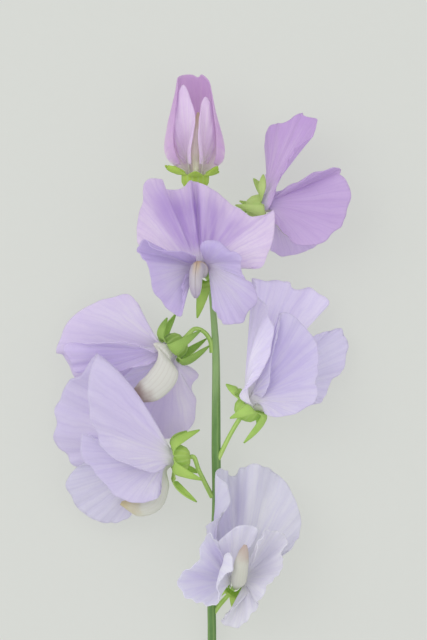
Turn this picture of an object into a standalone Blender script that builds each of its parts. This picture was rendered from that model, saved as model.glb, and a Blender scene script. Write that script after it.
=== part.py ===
"""Sweet pea: a cut flower stem that carries one bud and six open blossoms.

Every blossom has a standard, two wings, a keel, a stamen column and a calyx, each a piece of its own.
Points are drawn in millimetres: x to the right, y along the stem, z toward the viewer of the laid-down
flower. The points of a blossom are measured from its own throat.
"""
import math

import bmesh
import bpy
import numpy as np
from mathutils import Euler, Vector

MM = 0.001

# Blade thicknesses
PETAL_THICK = 0.64
KEEL_THICK = 0.62
SEPAL_THICK = 0.62

# How the stem lies on its surface: degrees about x and y, then where the drawing's zero goes
LEAN = (3.944, 2.688)
PLACE = (3.54, -77.76, 4.85)

# Claws: the narrow foot by which a petal sits in the calyx
CLAW_LENGTH = 4.6
STANDARD_CLAW = dict(middle=0, half=112, foot=2.9, lip=3.6, flare=4.6, reach=1.6)
WING_CLAW = dict(middle=75, half=41, foot=1.9, lip=2.4, flare=2.9, reach=3.7)
FAR_PULL = 0.62
WING_RUFFLE = 0.8
WING_START = 0.37
SECOND_WAVE = 0.4
SECOND_PACE = 1.7

# How many points each row of a blade has, and how far out along the ribs each row lies
STANDARD_ROWS = ((8, 0.0), (8, 0.0), (10, 0.2), (16, 0.42), (24, 0.64), (34, 0.84), (34, 1.0))
WING_ROWS = ((4, 0.0), (4, 0.0), (8, 0.26), (14, 0.54), (22, 0.78), (26, 1.0))

# Calyx cup
CUP_DEPTH = 6.5
CUP_HEIGHT = 5.6
CUP_PROFILE = ((0.0, 0.42), (0.16, 0.74), (0.5, 0.97), (1.0, 1.0))
SEPAL_WIDTHS = ((0.25, 0.82), (0.5, 0.66), (0.76, 0.4), (1.0, 0.1))
SEPAL_TWIST = 0.8
SEPAL_AHEAD = 0.16
SEPAL_ASIDE = 0.22
SEPAL_BEND = 0.55
FIRST_SPOKE = -72
BETWEEN_SEPALS = 72
SEPAL_AT = (-36, 36, -108, 108, 180)
PEDICEL_FLARE = 1.6
PEDICEL_INSIDE = 0.8

# Keel: a boat that is open along one side
KEEL_ROOT = 3.2
KEEL_DROP = 1.7
KEEL_SLIT = 166
KEEL_TURNED = 0.2
KEEL_OPENS = (0, 3.2, 6, 9)
KEEL_WIDENING = (0.34, 0.5, 0.82, 1.0)
KEEL_DEEPENING = (0.16, 0.4, 0.82, 1.0)
KEEL_TAPER = ((0.6, 1.0), (0.8, 0.92), (1.0, 0.38))
KEEL_ALONG = 8
KEEL_ROUND = 8

# Stamen column inside the keel
COLUMN_LIFT = 0.45
COLUMN_FROM = 3
COLUMN_TO = 8
COLUMN_RADIUS = 0.46
ANTHER_RADIUS = 0.6
FULL_KEEL = 2.4

# Stem
STEM_LINE = ((-0.5, -48, 0), (-0.4, -20, 0), (-0.4, 3, 0), (-0.4, 18, 0), (1.2, 47, 0), (1.1, 68, 0),
             (1.1, 86, 0), (1.0, 104, 0), (0, 119, 0), (-0.9, 128, 0), (-2, 138, 0), (-3, 148, 0))
STEM_RADII = (1.55, 1.55, 1.55, 1.5, 1.6, 1.65, 1.55, 1.35, 1.1, 1.0, 0.95, 0.85)
PEDICEL_RADIUS = 0.8
PEDICEL_TIP = 0.7

# Each blossom: where its throat is, how far its mouth (the calyx rim) lies from the throat, the way it
# faces and the way its standard stands, the calyx cup's radius, and the ruffle's size, count and start.
# A petal is its margin, point by point from the throat; three more numbers bow the rib out on its way to
# that point. A keel is its seam, the way it opens, its half width and its depth. Sepals are their tips.
# The pedicel runs in the drawing, not from the throat.
BLOSSOMS = {
    "bud": dict(
        throat=(-7.9, 167.8, -1), mouth=(1.6, 0.7, 0), facing=(0.03, 0.99, 0.12), up=(0, 0.12, -0.99),
        cup=4.8, ruffle=(0.25, 4, 0.1),
        standard=[(-3.8, 3.4, 5, -4, 0, -2), (-5.2, 6.4, 8, -8, 0, -2), (-6.2, 12, 9, -10, 0, -3),
                  (-5.6, 20, 9, -10, 0, -3), (-5, 30, 7, -7, 0, -2), (-4.6, 34.6, 2, -3, 0, -3),
                  (0, 35.8, -1, 0, 0, -5), (2.5, 35, -1.5, 0, 0, -5), (4, 36, -0.5, 1, 0, -5),
                  (6, 33.5, 3, 2, 0, -3), (7.6, 27, 7, 4, 0, -2), (8.7, 20, 9, 7, 0, -3),
                  (9.2, 12, 9, 9, 0, -3), (9, 6.5, 8, 8, 0, -2), (8.2, 3.4, 5, 5, 0, -2)],
        left_wing=[(-2.4, 3.6, 0.4, -1, 0, 0), (-4.6, 7.4, 2.6, -1, 0, 1), (-6.1, 13, 5.2, -1, 0, 3),
                   (-6.2, 19, 6.5, -1, 0, 6), (-5.2, 25, 6.0, -1, 0, 7), (-4.2, 30, 6.2, 0, 0, 9),
                   (-2.8, 31.8, 6.5, 0, 0, 10), (-1.6, 30, 7.5, 0, 0, 9), (0, 26, 9, 0, 0, 7),
                   (1.2, 22, 10.5, 0, 0, 5), (1.4, 18, 11.5, -1, 0, 4), (0.9, 13, 12, -2, 0, 3),
                   (0, 8, 11.2, -1, 0, 2), (0, 3.2, 7.6, -1, 0, 1)],
        right_wing=[(6, 3.6, 0.4, 1, 0, 0), (7.9, 8, 2.4, 1, 0, 1), (8.7, 13, 4, 1, 0, 4),
                    (8.6, 18, 5, 1, 0, 7), (7.8, 22, 5.4, 0, 0, 8), (6.6, 25.6, 6, 0, 0, 9),
                    (5.2, 27.4, 6.5, 0, 0, 9), (4, 25.6, 8, 0, 0, 8), (3.4, 22, 10, 0, 0, 6),
                    (2.9, 18, 11.5, 0, 0, 4), (2.7, 13, 12.5, 1, 0, 3), (3, 8, 11, 1, 0, 2),
                    (3.2, 3.2, 7.6, 0, 0, 1)],
        keel=dict(spine=[(1.7, 3.4, 3.4), (1.6, 8, 6.5), (2.2, 15, 8), (2.6, 21.8, 7)],
                  open=(0, 0, -1), wide=1.4, deep=4.5),
        sepals=[(10.2, 1.0, -6), (-7, 3, -8), (9.6, 2.6, 5), (-9.4, 2.8, 3), (1.2, 0.4, 10.5)],
        pedicel=[(-3, 147, 0), (-3.6, 150.6, -0.4), (-5.2, 155, -1.2)]),
    "top_front": dict(
        throat=(-2.9, 132.5, 14), mouth=(-0.8, 0.5, -1), facing=(-0.2, 0.3, 0.93),
        up=(-0.1, 0.95, -0.3), cup=4.8, ruffle=(0.7, 6, 0.3),
        standard=[(-9, 3, -3), (-18, 6, -4), (-24, 10, -5), (-24.3, 15, -4), (-22.8, 22, -1),
                  (-21.8, 26.5, 2, 0, 0, -3), (-21.6, 30, 6, 0, 0, -5), (-19, 32.6, 7, 0, 0, -6),
                  (-15.9, 32.4, 3, 0, 0, -3), (-14.8, 29.5, -4), (-9, 29.5, -5), (-5.5, 32.3, -2),
                  (-3.5, 32, -4, 0, 0, -3), (-1, 31.8, -1), (1, 30.5, 0), (5, 27.5, -2), (9.5, 24, -4),
                  (13, 22.5, -4), (17, 19.3, -4), (20.5, 20, -2), (24.5, 22, -1), (24.8, 15, 0),
                  (24, 10, 1), (22.3, 6, 1), (20.8, 2.3, 1), (18, 0.9, 1), (13, 2.4, 0), (7, 5, -1.5)],
        left_wing=[(-3, 5.2, 5.4, 0, 0, 1), (-6, 6.4, 9, 0, 0, -2), (-10, 6.8, 11, 0, -1, -3),
                   (-14, 6.9, 12, 0, -1, -4), (-17, 8, 12.5, 0, -1, -4), (-20, 10.2, 12, 0, 0, -4),
                   (-22.8, 9.5, 9, 0, 0, -2), (-24, 7.2, 7), (-22.5, 5, 8, 0, 0, 1),
                   (-20, 2, 10, 0, 0, 1), (-19, -2, 11), (-18, -7, 11.5), (-15, -11.5, 11.5),
                   (-10, -15.4, 12), (-8.3, -15.3, 12.5), (-7.3, -12, 12), (-7.8, -8, 10),
                   (-7.9, -5, 8), (-6.8, -1, 5)],
        right_wing=[(-0.6, 5, 3), (-1.7, 8.6, 6, 0, 0, 2), (0, 10.3, 7, 0, 0, 5), (3, 10.8, 7, 0, 0, 6),
                    (6, 10, 7.5, 0, 0, 6), (9, 7.5, 8, 0, 0, 5), (12, 6, 8, 0, 0, 4),
                    (13, 3.5, 7, 0, 0, 1), (12.8, 0, 6.5, 0, 0, 0), (14, -2, 7, 0, 0, 2),
                    (17, -5, 8, 0, 0, 5), (18.2, -10, 8.5, 0, 0, 6), (17, -13, 8.5, 0, 0, 6),
                    (15, -15.5, 9, 0, 0, 6), (13, -18, 10, 0, 0, 6), (10, -19, 11, 0, 0, 5),
                    (7, -18.6, 11, 0, 0, 5), (5, -17, 10.5, 0, 0, 4), (3.8, -14.5, 9, 0, 0, 3),
                    (3, -10, 7, 0, 0, 2), (2.8, -5, 5)],
        keel=dict(spine=[(-2.3, -0.6, 1.5), (-2.9, -2, 5), (-3.1, -6, 7), (-3.1, -11.6, 8)],
                  open=(-0.05, 0.25, 1), wide=2.7, deep=5.2),
        sepals=[(6, 6, -13), (-8, 6, -13), (9, -6, -10), (-8, -6, -9), (-2.7, -16.5, -3)],
        pedicel=[(-0.3, 121.5, 0), (0.2, 125.5, 0.8), (-0.8, 128.6, 3.2)]),
    "top_right": dict(
        throat=(17.6, 158.4, 0), mouth=(1.0, -2.4, 0), facing=(0.97, 0.2, 0.05), up=(-0.2, 0.97, 0),
        cup=4.8, ruffle=(0.7, 6, 0.7),
        standard=[(4.2, 1.4, 6), (5.2, 4.6, 8.5), (7, 9, 12), (11, 16, 15), (14, 19.5, 15),
                  (17.5, 23, 13), (19.6, 26.5, 10), (19.8, 28.3, 7), (17.5, 29.6, 4), (15.5, 30.4, 2),
                  (15, 31.6, 0), (13, 31.5, -2), (10.5, 29.2, -4), (8, 27.8, -6), (5, 28.2, -9),
                  (3, 27, -12), (1.8, 23, -15), (1.7, 17, -16), (1.7, 10, -13), (2.0, 4, -6)],
        left_wing=[(6.5, 1.6, 4), (8, 3.6, 6), (10.5, 5.4, 8.5), (14, 6.1, 10), (18, 9, 9),
                   (22, 10.6, 8), (25, 11.5, 7), (28.4, 11, 5), (27.5, 9.4, 6), (30, 7, 7),
                   (31.6, 3, 8), (31.8, 0, 8), (30.2, -3.5, 8), (29.8, -6.5, 8), (28, -10, 9),
                   (25, -12.7, 10), (22, -15, 10), (18, -16.5, 10), (12.5, -16, 9), (8, -12.5, 8),
                   (5.5, -9.3, 6), (3.6, -7.8, 5), (2.4, -6.6, 4.5)],
        right_wing=[(5, 3, -4), (10, 4, -7), (18, 6, -9), (24, 4, -9), (27, -3, -9), (25, -10, -9),
                    (20, -16, -9), (15, -18.7, -8), (10, -20, -7), (6, -19.6, -6), (3.3, -17.8, -5),
                    (3, -13, -4), (3.5, -9, -3)],
        keel=dict(spine=[(3.6, -4.6, 0), (6, -10, 0), (11, -13.5, 0), (18, -10.5, 0)],
                  open=(0.3, 1, 0), wide=2.0, deep=6.5),
        sepals=[(-3, 8, -6), (0.5, 9, 3), (-8, 0, -9), (-9.5, -2, 5), (-4, -10, -4)],
        pedicel=[(-3, 147, 0), (1.2, 150.6, -0.6), (5, 153.4, -0.8)]),
    "upper_left": dict(
        throat=(-13.3, 105.5, 2), mouth=(-2.4, -1.4, 0.5), facing=(-0.76, -0.64, 0.1),
        up=(0.05, 0.1, -0.99), cup=4.8, ruffle=(0.5, 6, 0.2),
        standard=[(-0.6, -6.4, -4), (3, -6.6, -6), (6.3, -8, -7), (8.2, -10.5, -7), (6, -13, -8),
                  (5.3, -15.5, -8), (7, -20, -8), (7.2, -24, -8), (5.6, -28.5, -9), (1, -32, -10),
                  (-8, -33, -12), (-18, -29, -13), (-28, -21, -14), (-36, -12, -14), (-41, -3, -13),
                  (-43.6, -1.9, -12), (-42, 3, -11), (-40.5, 7, -11), (-38, 10.5, -10), (-34, 13.5, -9),
                  (-30, 15.5, -9), (-25, 17.5, -8), (-21, 18.8, -8), (-17, 18.6, -7), (-14.2, 16, -6),
                  (-13.5, 12.5, -6), (-13.2, 8, -6), (-11.5, 6.4, -5), (-9.4, 4.8, -5),
                  (-7.8, 1.8, -4)],
        left_wing=[(-6, -1.6, 2), (-8, -2, 4), (-12, -0.2, 6), (-17, 1.5, 7), (-24, 2, 6),
                   (-33, 1.5, 2), (-39.3, 1, 0), (-40.3, -0.8, 0), (-39, -4, -1), (-38, -6.5, -2.5),
                   (-36.5, -9, -3), (-32, -9.5, -3), (-28, -8.5, -2), (-24, -8.6, 0), (-20, -8.6, 2),
                   (-15, -7.6, 4), (-10, -6, 4), (-6.5, -4.6, 2.5)],
        right_wing=[(-6, -5, 0, 0, 0, -1), (-12, -6, -1, 0, 0, -2), (-16.5, -8.5, -2, 0, 0, -2),
                    (-19, -11, -2, 0, 0, -2), (-21, -13, -2.5, 0, 0, -2), (-25, -18, -4, 0, 0, -2),
                    (-24, -24, -5, 0, 0, -2), (-18, -27, -5, 0, 0, -2), (-12, -22, -5, 0, 0, -2),
                    (-8, -16, -4, 0, 0, -2), (-4, -9, -2, 0, 0, -1)],
        keel=dict(spine=[(-1.9, -4.8, 4.3), (0.8, -9.4, 5.3), (-1.4, -14.6, 5), (-6.8, -19, 4),
                         (-13.4, -19.8, 3.4)],
                  open=(-0.66, 0.75, 0), wide=2.6, deep=10, turned=0.02, slanted=0.9),
        sepals=[(0, 12, -6), (11, 3, -7), (-3, 10.5, 5), (12, 0.5, 2), (9, 6, 9)],
        pedicel=[(-0.3, 103.5, 0), (-1.0, 107.8, 0.5), (-3.3, 111, 0.9), (-6.6, 112, 1.1)]),
    "lower_left": dict(
        throat=(-13.3, 64.1, 5), mouth=(-1.6, 1.4, 0), facing=(-0.98, -0.05, 0.05), up=(0.1, 0.99, 0.1),
        cup=4.8, ruffle=(0.7, 6, 0.5),
        standard=[(-3.4, -0.6, 6), (-6.5, -2.6, 10), (-11, -2.5, 12.5), (-16, -0.5, 14), (-21, 1.5, 14),
                  (-24, 3.5, 14), (-26.5, 7, 14), (-27.5, 11, 14), (-29.5, 13, 14), (-30.5, 17, 13),
                  (-31, 22, 12), (-30.5, 30, 9, 2, 0, 0), (-30, 35, 8, 4, 2, 3),
                  (-28.5, 38.5, 5, 6, 4, 6), (-31, 36, 1, 6, 4, 5), (-34, 31.5, -4, 5, 4, 2),
                  (-38, 30, -7, 3, 3, 0), (-40.5, 26, -10), (-42.5, 22, -12), (-44, 18, -13),
                  (-43.5, 12, -14), (-44, 8, -15), (-43, 5, -16), (-40, 2, -16), (-38, -1, -16),
                  (-34, -3, -16), (-28, -3, -15), (-18, 3, -13), (-9, 6, -8), (-5, 6.5, -4)],
        left_wing=[(-6, -2, 3.4), (-12, -1, 5.2), (-20, 2.5, 7.5), (-27, 8, 8), (-33, 10.5, 6),
                   (-34, 6, 5), (-33.5, 2, 5), (-32, -0.3, 5), (-29, -2.5, 6), (-27, -6, 7),
                   (-23, -10, 8), (-19, -12.6, 9), (-14, -14, 9), (-9, -13.5, 8), (-6, -12, 7),
                   (-5.2, -9, 6), (-5.6, -4, 4)],
        right_wing=[(-8, -5, -4), (-20, -4, -6), (-30, -1.8, -6), (-33, -0.8, -6), (-37, -3, -6),
                    (-39.3, -7, -6), (-38.5, -11, -6), (-36, -16, -6), (-31, -20, -6), (-25, -22, -6),
                    (-20, -21.5, -5.5), (-17, -20, -5), (-14, -16, -4.5), (-8, -8, -4), (-5, -4, -3)],
        keel=dict(spine=[(-3.2, -2.6, 0), (-2.6, -9, 0), (-5.5, -16.5, 0), (-13, -19.2, 0),
                         (-20, -15, 0)],
                  open=(-0.6, 0.8, 0), wide=2.2, deep=7),
        sepals=[(8.5, 11.7, 2), (4, 11, -7), (9.5, -6, 6), (9, -4, -6), (7.5, -14, 2)],
        pedicel=[(-0.3, 51.5, 0), (-2.8, 56.5, 1.6), (-5.2, 61.6, 2.8)]),
    "middle_right": dict(
        throat=(14.0, 84.2, 6), mouth=(0, 1.2, 0), facing=(0.6, 0.78, 0.2), up=(-0.7, 0.68, -0.1),
        cup=4.8, ruffle=(0.6, 6, 0.9),
        standard=[(-3.1, 5.8, 7, -6, -2, 2), (-2.6, 6, 8.2, -7, -1, 2), (0, 8, 8.5, -9, 0, 2),
                  (2.5, 11, 9, -9, 0, 2), (4.5, 14.5, 9, -9, 0, 2), (6, 18, 9, -9, 0, 0),
                  (7, 22, 9, -9, 0, 0), (7.5, 26, 9, -9, 0, 0), (7, 30, 9, -8, 0, 0),
                  (6, 33, 8, -6, 0, 0), (5, 36, 7, -4, 0, 0), (2.5, 38.5, 5, -2, 0, 0), (1, 41, 3),
                  (0.4, 44, 1), (1, 46, -1), (5, 45, -3), (8.5, 45.5, -5), (11, 44.7, -6),
                  (13.5, 44.5, -7), (14.5, 43, -9), (17, 42.3, -9), (20.5, 42.5, -8), (24, 41, -9),
                  (26.5, 39, -10), (27.8, 37, -10), (26.5, 35, -10), (23, 32, -11), (19, 28.5, -13),
                  (14, 22, -14), (9, 15, -12), (3, 11, -8), (-1, 7.5, -4)],
        left_wing=[(3.4, 3.2, 4.7), (5.3, 6, 6.1), (6.3, 9, 7), (6.6, 15, 7.6), (7.6, 21, 8.2),
                   (9, 27, 8.2), (10.2, 32.5, 8), (12, 34, 7), (15, 32, 6), (18, 29.5, 5),
                   (20.5, 26.5, 5), (22.5, 24, 5), (23.6, 20, 6), (23.8, 15, 7), (23, 10, 8),
                   (23.2, 6, 9), (22, 2, 9), (19, -0.5, 9), (15, -2.5, 9), (11, -3.2, 8),
                   (7.5, -3.5, 7), (4.5, -2.4, 5)],
        right_wing=[(8, 7, -5), (14, 15, -8), (19, 22, -9), (22.5, 24.6, -9), (26, 26.5, -9),
                    (30, 27.7, -9), (32.3, 28, -9), (33.6, 25.5, -9), (34.6, 21.5, -9), (34, 16, -9),
                    (32, 12, -8), (29, 9.5, -8), (27.5, 6, -8), (26, 2.8, -8), (23.5, 0.8, -7),
                    (16, 0, -6), (8, 0, -4)],
        keel=dict(spine=[(2, -1.2, 0.6), (7, -2.6, 0.4), (14, -2.2, 0), (20, 1.5, 0)],
                  open=(-0.1, 1, 0), wide=2.1, deep=6.5),
        sepals=[(-9, 7, -7), (-9.3, 8, 2), (2, -7, -9), (-8, -4, 8), (-3, -13, 2)],
        pedicel=[(0.8, 63, 0), (3, 67.5, 1.0), (6.2, 74, 3.0)]),
    "bottom": dict(
        throat=(9.7, 22.3, 10), mouth=(-1.2, -1.2, -2), facing=(0.1, 0.25, 0.96), up=(0, 0.96, -0.25),
        cup=4.8, ruffle=(1.0, 7, 0.4),
        standard=[(-5, 6, -4), (-9, 12, -5), (-11.6, 17, -3), (-11.4, 20, 1), (-8.6, 22, 4, -2, 0, -5),
                  (-5.6, 23.6, 6, -6, 0, -5), (-4.4, 27, 7, -10, 0, -6), (-4, 31, 7, -12, 0, -6),
                  (-4.8, 35, 6, -10, 0, -5), (-8, 38.6, 4, -4, 0, -4), (-7, 40, 0, -1, 0, -3),
                  (-4.6, 38, -4), (-2, 37.5, -6), (1, 40, -4), (5, 41.3, -2), (10, 40, -4),
                  (13, 38, -6), (17, 34, -5), (20, 28, -3), (21.8, 22, -3), (21.6, 16, -4),
                  (19.8, 13.3, -3), (17.5, 10.3, -1), (15, 10, -3), (10, 8.5, -5), (5, 6, -5)],
        left_wing=[(1, 8, 4), (4.4, 14, 4.6), (6.2, 18.4, 6, 0, 0, -2), (3, 19.9, 6, 0, 0, -2),
                   (-1, 19.6, 5.4, 0, 0, -1), (-4, 17.6, 4.6, 0, 0, 0), (-6.4, 15, 5.6), (-8, 13.6, 8),
                   (-9, 16, 11, 0, 0, -3), (-11, 17.9, 11, 0, 0, -5), (-12.6, 15, 9, 0, 0, -4),
                   (-13.6, 12, 8), (-15, 8, 10, 0, 0, -2), (-18, 5.5, 11, 0, 0, -4),
                   (-20.6, 3, 10, 0, 0, -5), (-21.5, -1, 9, 0, 0, -5), (-20.3, -4, 10, 0, 0, -6),
                   (-17, -7, 11, 0, 0, -7), (-12, -8.2, 11, 0, 0, -7), (-8.6, -6.6, 12, 0, 0, -5),
                   (-8, -2, 13, -3, 0, -2), (-6, 2.2, 14, -6, 3, 0), (-2.9, 4.2, 14.5, -8, 6, 0),
                   (-2.6, 7.6, 14, -7, 7, 0), (-3.8, 10.6, 13, -5, 5, 0)],
        right_wing=[(3.4, 5, 5), (4.9, 8, 9, 0, 0, -2), (5.6, 11, 11, 0, 0, -4), (6, 14, 12, 0, 0, -5),
                    (8, 16, 12, 0, 0, -5), (9.6, 18, 11, 0, 0, -5), (12, 18.6, 10, 0, 0, -5),
                    (14.6, 17.9, 10, 0, 0, -5), (16.3, 15.5, 10, 0, 0, -5), (15.5, 13, 11, 0, 0, -5),
                    (14.2, 11, 12, 0, 0, -6), (15.8, 8, 12, 0, 0, -6), (15, 5, 12, 0, 0, -5),
                    (12, 3, 12, 0, 0, -3), (10.5, 0, 11), (9, -3, 11, 0, 0, 2), (7.3, -6.3, 9, 0, 0, 3),
                    (5.5, -7, 7), (5.8, -9, 5), (4, -12, 5, 0, 0, 2), (1.5, -15.3, 3, 0, 0, 2),
                    (-2, -17, 1), (-6, -15.6, 1), (-5.6, -13, 3, 3, 0, 0), (-1, -8, 4, 3, 0, 0),
                    (2.4, -5, 3, 3, 0, 0)],
        keel=dict(spine=[(-1.1, -2.6, 1), (-0.6, -1, 9), (0.4, 6, 13.5), (1.8, 13.4, 12.5)],
                  open=(0, 0.3, -1), wide=2.6, deep=5),
        sepals=[(6, 7, -13), (-6, 7, -13), (8, -5, -12), (-7, -6, -6), (-2, -12, -8)],
        pedicel=[(-0.3, 9, 0), (2.4, 12.6, -0.4), (5.4, 16, -1.0)]),
}


# ---------------------------------------------------------------- curves and sheets

def unit(v):
    v = np.asarray(v, float)
    return v / np.linalg.norm(v, axis=-1, keepdims=True)


def through(points, places):
    """A smooth curve through the points. Place 1.5 is half way from the second point to the third."""
    points = np.asarray(points, float)
    last = len(points) - 1
    slope = np.gradient(points, axis=0)
    places = np.clip(places, 0, last)
    k = np.minimum(places.astype(int), last - 1)
    t = (places - k)[:, None]
    return ((2 * t**3 - 3 * t**2 + 1) * points[k] + (t**3 - 2 * t**2 + t) * slope[k]
            + (3 * t**2 - 2 * t**3) * points[k + 1] + (t**3 - t**2) * slope[k + 1])


def even_places(points, count):
    """Places that lie evenly spaced along the curve through the points."""
    fine = np.linspace(0, len(points) - 1, 40 * len(points))
    run = np.linalg.norm(np.diff(through(points, fine), axis=0), axis=1)
    run = np.concatenate([[0], np.cumsum(run)])
    return np.interp(np.linspace(0, run[-1], count), run, fine)


def bezier(a, b, c, d, t):
    return (1 - t)**3 * a + 3 * (1 - t)**2 * t * b + 3 * (1 - t) * t * t * c + t**3 * d


def axes(blossom):
    """Where the throat is, and the ways a blossom faces: forward, up toward its standard, and sideways."""
    forward = unit(blossom["facing"])
    side = unit(np.cross(forward, blossom["up"]))
    up = np.cross(side, forward)
    throat = np.array(blossom["throat"], float)
    return throat, throat + np.array(blossom["mouth"], float), forward, up, side


def rim_points(rim, throat):
    """The margin's points, and how far each rib bows out on its way there."""
    places = np.array([p[:3] for p in rim], float) + throat
    bows = np.array([p[3:] if len(p) > 3 else (0, 0, 0) for p in rim], float)
    return places, bows


def claw_spokes(blossom, part, rim, turn):
    """The way from the mouth's middle to each rib: over the top for a standard, at one side for a wing."""
    throat, mouth, forward, up, side = axes(blossom)
    claw = STANDARD_CLAW if part == "standard" else WING_CLAW
    low, high = through(rim, np.interp([0.25, 0.75], [0, 1], [0, len(rim) - 1]))
    if part == "standard":
        angle = claw["middle"] + claw["half"] * turn * np.sign((high - low) @ side)
    else:
        angle = claw["middle"] - claw["half"] * turn * np.sign((high - low) @ up)
        angle = angle * np.sign((rim.mean(axis=0) - mouth) @ side)
    return up * np.cos(np.radians(angle)) + side * np.sin(np.radians(angle))


def blade(blossom, part):
    """Rows of points from a petal's foot to its margin. Ribs leave the claw and bend to the margin."""
    throat, mouth, forward, up, side = axes(blossom)
    rim, bows = rim_points(blossom[part], throat)
    claw, rows = (STANDARD_CLAW, STANDARD_ROWS) if part == "standard" else (WING_CLAW, WING_ROWS)
    sheet = []
    for k, (count, t) in enumerate(rows):
        places = even_places(rim, count)
        spokes = claw_spokes(blossom, part, rim, np.linspace(-1, 1, count)[:, None])
        if k == 0:
            sheet.append(mouth - forward * CLAW_LENGTH + spokes * claw["foot"])
            continue
        start = mouth + spokes * claw["lip"]
        near = mouth + spokes * claw["flare"] + forward * claw["reach"]
        end = through(rim, places)
        far = near + (end - near) * FAR_PULL + through(bows, places)
        row = bezier(start, near, far, end, t)
        sheet.append(row + ruffle(blossom, part, places / (len(rim) - 1), end, end - far) * t**3)
    return sheet


def ruffle(blossom, part, along, margin, rib):
    """How far the wavy margin stands out of the blade at each rib."""
    size, waves, start = blossom["ruffle"]
    if part != "standard":
        size, waves, start = size * WING_RUFFLE, waves * WING_RUFFLE, start + WING_START
    out_of_blade = unit(np.cross(np.gradient(margin, axis=0), rib))
    round_about = 2 * np.pi
    swing = np.sin(round_about * (waves * along + start))
    swing = swing + SECOND_WAVE * np.sin(round_about * (SECOND_PACE * waves * along + start))
    return out_of_blade * (size * swing * np.sin(np.pi * along)**0.5)[:, None]


def keel_line(blossom, count):
    """Evenly spaced points on the keel's seam, with the ways to its open edge and out to its side."""
    keel = blossom["keel"]
    throat, mouth, forward, up, side = axes(blossom)
    root = mouth - forward * KEEL_ROOT - up * KEEL_DROP
    spine = np.vstack([root, np.array(keel["spine"], float) + throat])
    line = through(spine, even_places(spine, count))
    ahead = unit(np.gradient(line, axis=0))
    stations = np.linspace(0, 1, count)
    turned = np.clip(stations / keel.get("turned", KEEL_TURNED), 0, 1)[:, None]
    opening = up * (1 - turned) + unit(keel["open"]) * turned
    square = 1 - keel.get("slanted", 0)
    opening = unit(opening - square * ahead * np.sum(ahead * opening, axis=1, keepdims=True))
    run = stations * np.linalg.norm(np.diff(line, axis=0), axis=1).sum()
    taper = np.interp(stations, *zip(*KEEL_TAPER))
    wide = keel["wide"] * taper * np.interp(run, KEEL_OPENS, KEEL_WIDENING)
    deep = keel["deep"] * taper * np.interp(run, KEEL_OPENS, KEEL_DEEPENING)
    return line, opening * deep[:, None], np.cross(ahead, opening) * wide[:, None]


def keel_sheet(blossom):
    """Rows across the boat-shaped keel, from one free edge round the seam to the other."""
    line, opening, side = keel_line(blossom, KEEL_ALONG)
    turn = np.radians(np.linspace(-KEEL_SLIT, KEEL_SLIT, KEEL_ROUND))[:, None]
    lift = (1 - np.cos(turn)) / (1 - math.cos(math.radians(KEEL_SLIT)))
    return [line[i] + opening[i] * lift + side[i] * np.sin(turn) for i in range(KEEL_ALONG)]


def stamen_line(blossom):
    """The stamen column's middle line, inside the keel."""
    line, opening, side = keel_line(blossom, 10)
    return (line + opening * COLUMN_LIFT)[COLUMN_FROM:COLUMN_TO]


def sepal_rows(edge, outward, tip, forward):
    """Rows of points from a stretch of the cup's rim to a sepal's tip, which turns to face the viewer."""
    root = edge[len(edge) // 2]
    reach = np.linalg.norm(tip - root)
    near = root + (forward * SEPAL_AHEAD + outward * SEPAL_ASIDE) * reach
    far = near + (tip - near) * SEPAL_BEND
    width = edge[-1] - edge[0]
    turn = np.linspace(-0.5, 0.5, len(edge))[:, None]
    rows = []
    for t, share in SEPAL_WIDTHS:
        middle = bezier(root, near, far, tip, t)
        along = unit(middle - bezier(root, near, far, tip, t - 0.05))
        facing = np.cross((0, 0, 1), along)
        facing = facing * np.sign(facing @ width) * np.linalg.norm(width)
        turned = width + (facing - width) * SEPAL_TWIST * t
        flat = unit(turned - along * (turned @ along))
        rows.append(middle + flat * turn * share * np.linalg.norm(width))
    return rows


def calyx_rows(blossom, per_sepal=2):
    """The cup's rings of points, then each sepal: its stretch of the rim, and its rows."""
    throat, mouth, forward, up, side = axes(blossom)
    base = mouth - forward * CUP_DEPTH
    count = 5 * per_sepal
    around = np.radians(np.linspace(FIRST_SPOKE, FIRST_SPOKE + 360, count, endpoint=False))[:, None]
    spokes = up * np.cos(around) + side * np.sin(around)
    spokes_out = spokes * blossom["cup"]
    cup = [base + forward * CUP_HEIGHT * high + spokes_out * wide for high, wide in CUP_PROFILE]
    sepals = []
    for middle, tip in zip(SEPAL_AT, blossom["sepals"]):
        first = int((middle - FIRST_SPOKE) / BETWEEN_SEPALS * per_sepal - per_sepal / 2) % count
        picks = [(first + k) % count for k in range(per_sepal + 1)]
        outward = spokes[picks[per_sepal // 2]]
        rows = sepal_rows(cup[-1][picks], outward, np.array(tip, float) + throat, forward)
        sepals.append((picks, rows))
    return cup, sepals


def pedicel_line(blossom):
    """From inside the stem to inside the calyx cup."""
    throat, mouth, forward, up, side = axes(blossom)
    below = mouth - forward * (CUP_DEPTH + PEDICEL_FLARE)
    inside = mouth - forward * (CUP_DEPTH - PEDICEL_INSIDE)
    return list(blossom["pedicel"]) + [below, inside]


# ---------------------------------------------------------------- solids

def material(name, colour, roughness):
    mat = bpy.data.materials.new(name)
    mat.use_nodes = True
    shader = mat.node_tree.nodes["Principled BSDF"]
    shader.inputs["Base Color"].default_value = (*colour, 1.0)
    shader.inputs["Roughness"].default_value = roughness
    return mat


def strip(bm, first, second):
    """Triangles between two rows of vertices that may differ in count."""
    i = j = 0
    while i < len(first) - 1 or j < len(second) - 1:
        step_first = (i + 1) / (len(first) - 1) if i < len(first) - 1 else 2
        step_second = (j + 1) / (len(second) - 1) if j < len(second) - 1 else 2
        if step_first <= step_second:
            bm.faces.new((first[i], first[i + 1], second[j]))
            i += 1
        else:
            bm.faces.new((first[i], second[j + 1], second[j]))
            j += 1


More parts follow.
